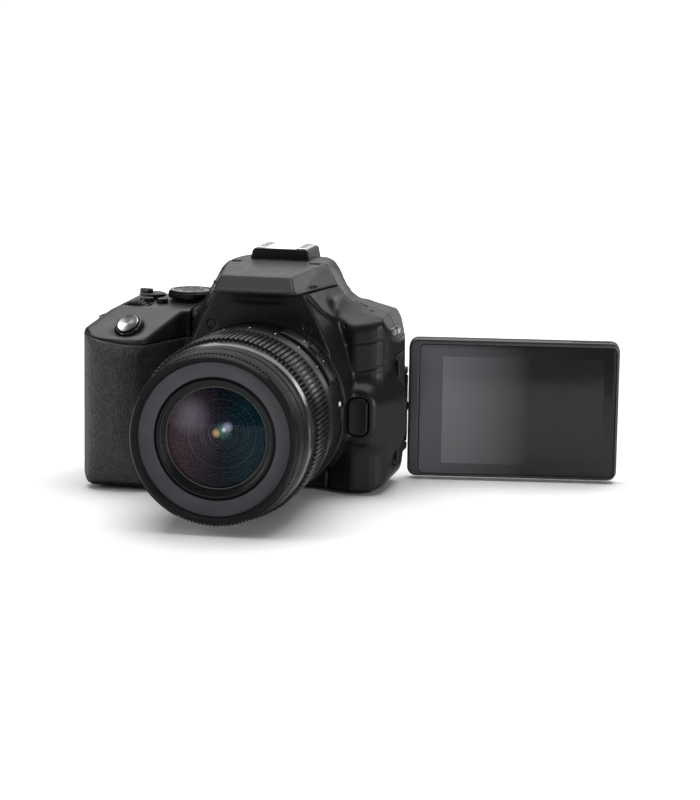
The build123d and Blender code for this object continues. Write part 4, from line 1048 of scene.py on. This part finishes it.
def mode_dial():
    """Mode dial: knurled skirt, bright rim line and numbers on its flat top."""
    place = at((MODE_X, MODE_Y, DECK_Z))

    def knurled(angles, radius, height):
        wave = np.tile([0, 0, 1, 1], 60)
        return radius - np.where((radius > MODE_R - 0.35) & (0.5 < height < 3.0), 0.45, 0) * (1 - wave)

    outline = [(0, RUN), (MODE_R - 0.5, RUN), (MODE_R - 0.3, 0.6), (MODE_R, 0.8), (MODE_R, 2.6),
               (MODE_R - 0.3, 2.9), (MODE_R - 0.5, 3.4), (MODE_R - 0.9, 3.7), (7.4, 3.7), (7.2, 3.5),
               (0, 3.5)]
    mesh = turned(outline, place, shape=knurled, angles=rib_angles(60, (0, 0.3, 0.42, 0.88)))
    piece("mode_knob", mesh, "button", "mode_wheel", "mode_dial")
    rim = turned([(7.5, 3.6), (7.5, 3.78), (8.9, 3.78), (8.9, 3.6)], place)
    piece("mode_rim", rim, "rim", "mode_wheel")
    for i in range(9):
        turn = radians(40 * i + 20)
        curve = bpy.data.curves.new(f"digit_{i}", "FONT")
        curve.body = str(i + 1)
        curve.size = 2.6 * MM
        curve.extrude = 0.03 * MM
        curve.align_x = curve.align_y = "CENTER"
        text = show(f"mode_number_{i + 1}", curve)
        spot = Matrix.Rotation(turn, 4, "Z") @ Matrix.Translation((0, 5.6, 3.53))
        matrix = place @ spot
        matrix.translation *= MM
        text.matrix_world = matrix
        curve.materials.append(MATERIALS["white"])
        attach(text, "mode_wheel")


def buttons():
    """Rear and top push buttons, the four-way pad and the set button."""
    for name, (x, z, radius, wall, body) in REAR_BUTTONS.items():
        cap = rounded([(0, -1), (radius, -1), (radius, 0.9, 0.35), (0, 1.05)])
        piece(name + "_cap", turned(cap, at((x, wall, z), Y), 64), "button", body, name)
    for name, (x, y, radius, body) in TOP_BUTTONS.items():
        cap = rounded([(0, -1), (radius, -1), (radius, 0.8, 0.3), (0, 0.7)])
        piece(name + "_cap", turned(cap, at((x, y, DECK_Z)), 64), "button", body, name)
    middle = at((PAD_X, THUMB_Y, PAD_Z), Y)
    pad = rounded([(4.3, -1.2), (4.3, 0.5, 0.2), (5.0, 0.9, 0.5), (8.2, 1.4, 0.8), (9.6, 0.9, 0.5),
                   (9.6, -0.8), (9.0, -1.2)])
    piece("pad_ring", turned(pad, middle), "button", "pad", "cross_pad")
    cap = rounded([(0, -4.2), (2, -4.2), (2, -0.8), (3.95, -0.8), (3.95, 1.0, 0.4), (0, 0.75)])
    piece("set_cap", turned(cap, middle, 96), "button", "set_key", "set_button")
    for i in range(4):
        turn = middle @ Matrix.Rotation(pi / 2 * i, 4, "Z")
        arrow = plate([(-0.8, 6.4), (0.8, 6.4), (0, 7.4)], 1.2, 1.36, turn, 0.01)
        piece(f"pad_arrow_{i}", arrow, "grey_mark", "pad")
    s = Space((-71, 10.5, 42), (-50, 16, 55), 0.25)
    outline = s.along_y(rounded([(-68.5, 44), (-53.5, 44), (-52.5, 52.5), (-68.5, 52.5)], 2.0))
    crown = s.along_z([(-69, 11.2), (-69, 12.2), (-64, 14.0, 8), (-57, 13.8, 8), (-52, 12.4), (-52, 11.2)])
    rest = both(outline, crown, 0.6)
    for i in range(5):
        rest = cut(rest, s.rod((0, 14.4, 45.5 + 1.5 * i), X, 0.75, -66, -55), 0.2)
    piece("thumb_pad", s.mesh(rest), "thumb", "camera_body", "thumb_rest")


def release_and_lugs():
    """Lens release, strap lugs and the two small screws on the nose."""
    s = Space((RELEASE_LOW[0] - 1, -36, RELEASE_LOW[2] - 1),
              (RELEASE_HIGH[0] + 1, -29, RELEASE_HIGH[2] + 1), 0.2)
    key = s.along_y(rectangle(RELEASE_LOW[0], RELEASE_HIGH[0], RELEASE_LOW[2], RELEASE_HIGH[2], 2.6))
    key = both(key, s.block(y=(-35, -30.5)), 0.7)
    key = cut(key, s.rod((RELEASE_X, -64.2, RELEASE_Z), Z, 29.9, -20, 20), 0.5)
    piece("release_cap", s.mesh(key), "button", "release_key", "lens_release")
    low, high = box_mm("strap_lugs")
    meshes = []
    for x0, x1 in ((45.6, 49.6), (-70.6, -66.6)):
        s = Space((x0 - 1, low[1] - 1, low[2] - 1), (x1 + 1, high[1] + 1, high[2] + 1), 0.2)
        plan = s.along_z(rectangle(x0, x1, -21, -13, 1.6))
        outer = x0 + 2.2 if x0 > 0 else x0 + 0.7
        slot = s.along_z(rectangle(outer, outer + 1.1, -20, -14, 0.5))
        meshes.append(s.mesh(cut(both(plan, s.block(z=(61.6, 64.4)), 0.5), slot, 0.3)))
    piece("lugs", join(meshes), "lug", "camera_body", "strap_lugs")
    for i, side in enumerate((-1, 1)):
        head = at((side * 18.8, NOSE_Y + 0.32, 66.4), (0, -1, 0))
        washer = turned([(0, 0), (0, 0.12), (0.55, 0.12), (0.75, 0.32, 0.05), (1.45, 0.32, 0.1), (1.55, 0)],
                        head, 48)
        piece(f"nose_screw_{i}", washer, "button", "camera_body", slot="steel")


def shoe():
    """Hot shoe: black block, bent bright rails and its contacts."""
    s = Space((-12.4, SHOE_LOW[1] - 3, 85.5), (12.4, SHOE_HIGH[1] + 2, 93.4), 0.2)
    wall = s.along_y([(-12.2, 86.6), (-11.0, 92.2, 1.5), (11.0, 92.2, 1.5), (12.2, 86.6)])
    wall = both(wall, s.block(y=(SHOE_LOW[1] - 1.6, SHOE_HIGH[1] + 0.8)), 0.4)
    wall = cut(wall, s.block((-10.36, 10.36), (SHOE_LOW[1] - 0.05, SHOE_HIGH[1] + 3), (88.2, 96)), 0.15)
    piece("shoe_block", s.mesh(wall), "body", "camera_body", slot="soft_rubber")
    pads = [(0, 2.0, 1.7), (-3.9, -1.6, 1.0), (3.9, -1.6, 1.0), (-3.9, 4.6, 1.0), (3.9, 4.6, 1.0)]
    contacts = [turned([(0, 88.1), (0, 89.2), (r - 0.2, 89.2), (r, 89.05), (r, 88.1)], at((x, y, 0)), 48)
                for i, (x, y, r) in enumerate(pads)]
    piece("shoe_contacts", join(contacts), "shoe", "camera_body", "hot_shoe_base")
    s = Space((-11.5, SHOE_LOW[1] - 1, 87.4), (11.5, SHOE_HIGH[1] + 1, 93.6), 0.2)
    length = (SHOE_LOW[1], SHOE_HIGH[1])
    outer = s.along_y([(-10.3, 88.2, 0.2), (-10.3, 92.6, 0.9), (10.3, 92.6, 0.9), (10.3, 88.2, 0.2)])
    rails = both(outer, s.block(y=length), 0.15)
    rails = cut(rails, s.block((-9.35, 9.35), (-30, 30), (89.1, 91.3), 0.3), 0.1)
    rails = cut(rails, s.block((-6.2, 6.2), (-30, 30), (89.1, 99)), 0.15)
    for x, y, r in pads:
        rails = cut(rails, s.rod((x, y, 88), Z, r + 0.4, -2, 2), 0.1)
    piece("shoe_rails", s.mesh(rails), "shoe", "camera_body", "hot_shoe")


def finder_parts():
    """Rubber eyecup and the fluted flash window."""
    s = Space((-18.5, 8, 60.5), (18.5, 19, 84), 0.3)
    outer = both(s.along_y(rectangle(-17, 17, 61.8, 82.4, 5)), s.block(y=(13.1, 17.8)), 1.6)
    neck = both(s.along_y(rectangle(-12, 12, 64.4, 79.6, 2)), s.block(y=(9.2, 14)), 0.2)
    opening = s.along_y(rectangle(-9.9, 9.9, 66.3, 78.1, 2)) - np.maximum(s.y - 15.4, 0) * 0.9
    piece("eyecup_rubber", s.mesh(cut(either(outer, neck, 0.4), opening, 0.8)), "soft", "camera_body",
          "eyecup")
    low, high = box_mm("flash_window")
    s = Space(low - 0.8, high + 0.8, 0.15)
    pane = s.block((low[0], high[0]), (low[1], high[1]), (low[2] + 0.3, high[2]), 0.3)
    flutes = (np.abs((s.y * 1.1) % 1 - 0.5) - 0.2) / 1.1 + np.maximum(s.z - low[2] - 0.6, 0)
    pane = cut(pane, flutes, 0.1)
    piece("flash_pane", s.mesh(pane), "pane", "flash", "flash_window")


def base_parts():
    """Battery door with its finger groove."""
    x0, x1, y0, y1 = DOOR_LOW[0] + 1.0, DOOR_HIGH[0], DOOR_LOW[1], DOOR_HIGH[1]
    s = Space((DOOR_LOW[0] - 1, y0 - 1, -1), (x1 + 1, y1 + 1, 4), 0.25)
    leaf = s.block((x0 + 0.35, x1), (y0, y1), (0.15, 2.85), 0.35)
    leaf = either(leaf, s.rod((x0 + 0.35, 0, 1.5), Y, 1.35, y0, y1), 0.2)
    leaf = cut(leaf, s.block((-47.2, -42.4), (-26.4, -17.6), (-2, 2.0), 0.3), 0.25)
    leaf = cut(leaf, both(np.abs(s.along_z(rectangle(x0 + 3.2, x1 - 2.2, y0 + 2.2, y1 - 2.2, 1.5))) - 0.2,
                          s.z - 0.4, 0), 0.1)
    piece("battery_lid_shell", s.mesh(leaf), "body", "battery_lid", "battery_door")


# ---- screen ----
OPEN = radians(8.0)
TILT_AT = (HINGE_X, HINGE_Y, 28.75)
SCREEN = at(TILT_AT, (sin(OPEN), -cos(OPEN), 0), (cos(OPEN), sin(OPEN), 0))
U0, U1 = 3.0, 86.5               # screen's edges, measured from the hinge
V1, HALF = 27.75, 3.75           # half of the screen's height and of its thickness


def screen_space(low, high, step=0.3):
    return Space((U0 - 1, -V1 - 1, low), (U1 + 1, V1 + 1, high), step)


def placed(mesh, place):
    """Mesh made in local millimetres, moved to its placement with its normals."""
    matrix = place.copy()
    matrix.translation *= MM
    mesh.transform(matrix)
    return mesh


def screen_pieces():
    """Swivelling screen: frame, back shell, glass and display area, and the hinge."""
    s = screen_space(-1, 5)
    frame_field = both(s.along_z(rectangle(U0, U1, -V1, V1, 3.6)), s.block(z=(0.05, HALF)), 0.9)
    pocket = s.along_z(rectangle(U0 + 4.3, U1 - 1.2, -V1 + 1.2, V1 - 2.1, 2.2))
    frame_field = cut(frame_field, both(pocket, 2.9 - s.z, 0), 0.15)
    frame_field = cut(frame_field, s.block((U1 - 19, U1 - 4), (V1 - 0.45, V1 + 2), (-1, 2.6), 0.3), 0.2)
    frame_field = cut(frame_field, s.rod((0, 0, 0), X, 1.95, 0, U0 + 13), 0.1)
    piece("screen_rim", placed(s.mesh(frame_field), SCREEN), "frame", "screen", "screen_frame")
    s = screen_space(-5, 1)
    shell = both(s.along_z(rectangle(U0, U1, -V1, V1, 3.6)), s.block(z=(-HALF, -0.05)), 1.1)
    shell = cut(shell, s.block((U1 - 1.2, U1 + 1), (9, 17), (-5, -HALF + 1.6), 0.5), 0.3)
    groove = np.abs(s.along_z(rectangle(U0 + 9, U1 - 5, -V1 + 5, V1 - 5, 3))) - 0.3
    shell = cut(shell, both(groove, s.z + HALF - 0.35, 0), 0.2)
    shell = cut(shell, s.rod((0, 0, 0), X, 1.95, 0, U0 + 13), 0.1)
    piece("screen_shell", placed(s.mesh(shell), SCREEN), "body", "screen", "screen_back")
    glass = plate(rectangle(U0 + 4.45, U1 - 1.35, -V1 + 1.35, V1 - 2.25, 2.1),
                  2.92, HALF - 0.05, SCREEN, 0.25)
    piece("screen_pane", glass, "screen_glass", "screen", "screen_glass")
    # display area: no light of its own; its grey is the painted reflection in its material
    lit = plate(rectangle(U0 + 13.6, U1 - 6.0, -V1 + 5.6, V1 - 6.9), 3.5, HALF - 0.03, SCREEN, 0.01)
    piece("display_area", lit, "display", "screen")
    hinge_pieces()


def hinge_pieces():
    """Hinge barrel with its grooves and shaft, and the ears that carry it."""
    upright = at((HINGE_X, HINGE_Y, 0))
    outline = [(1.32, 14.5)]
    for low, high in ((14.5, 19.0), (19.4, 24.6), (25.0, 32.4), (32.8, 37.2), (37.6, 41.5)):
        outline += [(2.2, low), (2.6, low + 0.4), (2.6, high - 0.4), (2.2, high)]
    outline += [(1.32, 41.5)]
    barrel = turned(outline, upright, 64)
    shaft = turned([(0, 2.5), (1.6, 2.5), (1.6, 9, 0.1), (2.5, 9, 0.2), (2.5, 10.6, 0.2), (1.6, 10.6),
                    (1.6, 15, 0.3), (0, 15)], at(TILT_AT, (cos(OPEN), sin(OPEN), 0), Z), 48)
    web = plate(rectangle(0.5, U0 - RUN, -12.5, 12.5, 0.6), -1.6, 1.6, SCREEN, 0.3)
    piece("hinge_knuckles", join([barrel, shaft, web]), "button", "hinge", "hinge_barrel", slot="steel")
    ears = [turned([(0, 12), (1.25, 12), (1.25, 44), (0, 44)], upright, 32)]
    for low, high in ((11.5, 14.1), (41.9, 44.5)):
        outline = rounded([(HINGE_X - 2.6, 3), (HINGE_X + 2.6, 3), (HINGE_X + 2.6, HINGE_Y + 2.6, 2.5),
                           (HINGE_X - 2.6, HINGE_Y + 2.6, 2.5)])
        ears.append(plate(outline, low, high, None, 0.3))
    piece("hinge_ears", join(ears), "body", "camera_body", "hinge_bracket", slot="steel")


# ---- finishes of the solids that stay ----
KEPT = {
    "battery": "battery", "battery_latch": "button", "memory_card": "card", "tripod_socket": "mount",
    "mirror_box": "chassis", "mirror": "silvered", "pentamirror": "chassis", "shutter_unit": "chassis",
    "image_sensor": "gloss", "main_board": "board", "eyepiece": "eyepiece", "flash_pin": "steel",
    "mount_ring": "mount", "mount_screws": "steel", "lock_pin": "steel", "lens_bayonet": "mount",
    "rear_glass": "eyepiece",
}


def finish_kept_solids():
    for node, finish in KEPT.items():
        mesh = frame["nodes"][node].data
        mesh.materials.clear()
        mesh.materials.append(MATERIALS[finish])


# ---- set ----
def camera():
    """Camera of the main view: a little to the right of the lens axis and above it."""
    yaw, pitch, roll = radians(11.48), radians(9.88), radians(0.93)
    back = Vector((sin(yaw) * cos(pitch), -cos(yaw) * cos(pitch), sin(pitch)))
    right = Vector((cos(yaw), sin(yaw), 0))
    up = back.cross(right)
    turned_right = right * cos(roll) + up * sin(roll)
    turned_up = up * cos(roll) - right * sin(roll)
    turn = Matrix((turned_right, turned_up, back)).transposed()
    data = bpy.data.cameras.new("camera")
    data.sensor_width = 36
    data.lens = 115.53
    data.clip_start, data.clip_end = 0.05, 20
    made = show("camera", data)
    made.matrix_world = Matrix.Translation(Vector((226.93, -983.60, 206.88)) * MM) @ turn.to_4x4()
    bpy.context.scene.camera = made


def softbox(name, place, aim, size, power, spread=180):
    """Soft rectangular light aimed at a point, in metres."""
    data = bpy.data.lights.new(name, "AREA")
    data.shape = "RECTANGLE"
    data.size, data.size_y = size
    data.energy = power
    data.spread = radians(spread)
    made = show(name, data)
    made.location = place
    made.rotation_euler = (Vector(aim) - Vector(place)).to_track_quat("-Z", "Y").to_euler()


def studio():
    """Pale floor, pale surround and soft lights."""
    floor_mesh = bpy.data.meshes.new("floor")
    rim = [(1.6 * cos(2 * pi * i / 64), 1.6 * sin(2 * pi * i / 64), 0) for i in range(64)]
    floor_mesh.from_pydata(rim, [], [tuple(range(64))])
    floor = show("floor", floor_mesh)
    floor.location.z = CAD_BOX[0][2] - 0.0003
    paper = Finish("paper", Specular_IOR_Level=0.1)
    paper.into("Base Color", paper.noise(200, 2), [(0.3, 0.84), (0.7, 0.86)])
    paper.into("Roughness", paper.noise(40, 2), [(0.3, 0.9), (0.7, 0.95)])
    reach = paper.add("ShaderNodeVectorMath", {"operation": "LENGTH"})
    paper.link(paper.place, reach.inputs[0])
    paper.into("Emission Color", reach.outputs["Value"], [(0.35, 0.0), (0.9, 1.0)])
    paper.shader.inputs["Emission Strength"].default_value = 1.0
    floor_mesh.materials.append(paper.material)
    surround()
    softbox("top_light", (0.0, 0.15, 1.3), (0, 0, 0), (1.5, 1.1), 24)
    softbox("back_light", (0.1, 1.4, 0.95), (0, 0, 0.05), (2.4, 1.3), 10)
    softbox("left_light", (-1.3, -0.7, 0.55), (-0.05, 0, 0.04), (0.3, 1.0), 8)
    softbox("right_light", (1.0, -0.85, 0.23), (0.04, 0, 0.04), (0.22, 0.44), 8)
    softbox("rim_light", (0.7, 1.4, 0.35), (0.04, 0, 0.06), (0.5, 0.3), 1.2)
    bpy.context.scene.view_settings.view_transform = "Standard"


def surround():
    """White behind everything, but dim where it is only reflected, so that dark plastic stays dark."""
    world = bpy.data.worlds.new("surround")
    bpy.context.scene.world = world
    world.use_nodes = True
    nodes = world.node_tree.nodes
    dim = nodes["Background"]
    white = nodes.new("ShaderNodeBackground")
    white.inputs["Color"].default_value = (1, 1, 1, 1)
    white.inputs["Strength"].default_value = 1.05
    direct = nodes.new("ShaderNodeLightPath")
    mix = nodes.new("ShaderNodeMixShader")
    place = nodes.new("ShaderNodeTexCoord")
    split = nodes.new("ShaderNodeSeparateXYZ")
    shade = nodes.new("ShaderNodeValToRGB")
    for element, (height, grey) in zip(shade.color_ramp.elements, ((0.0, 0.015), (0.9, 0.20))):
        element.position = height
        element.color = (grey, grey, grey * 1.03, 1)
    wires = [(place.outputs["Generated"], split.inputs[0]), (split.outputs["Z"], shade.inputs["Fac"]),
             (shade.outputs["Color"], dim.inputs["Color"]),
             (direct.outputs["Is Camera Ray"], mix.inputs["Fac"]),
             (dim.outputs[0], mix.inputs[1]), (white.outputs[0], mix.inputs[2]),
             (mix.outputs[0], nodes["World Output"].inputs["Surface"])]
    for source, socket in wires:
        world.node_tree.links.new(source, socket)


camera()
body_pieces()
lens_pieces()
controls()
screen_pieces()
finish_kept_solids()
studio()
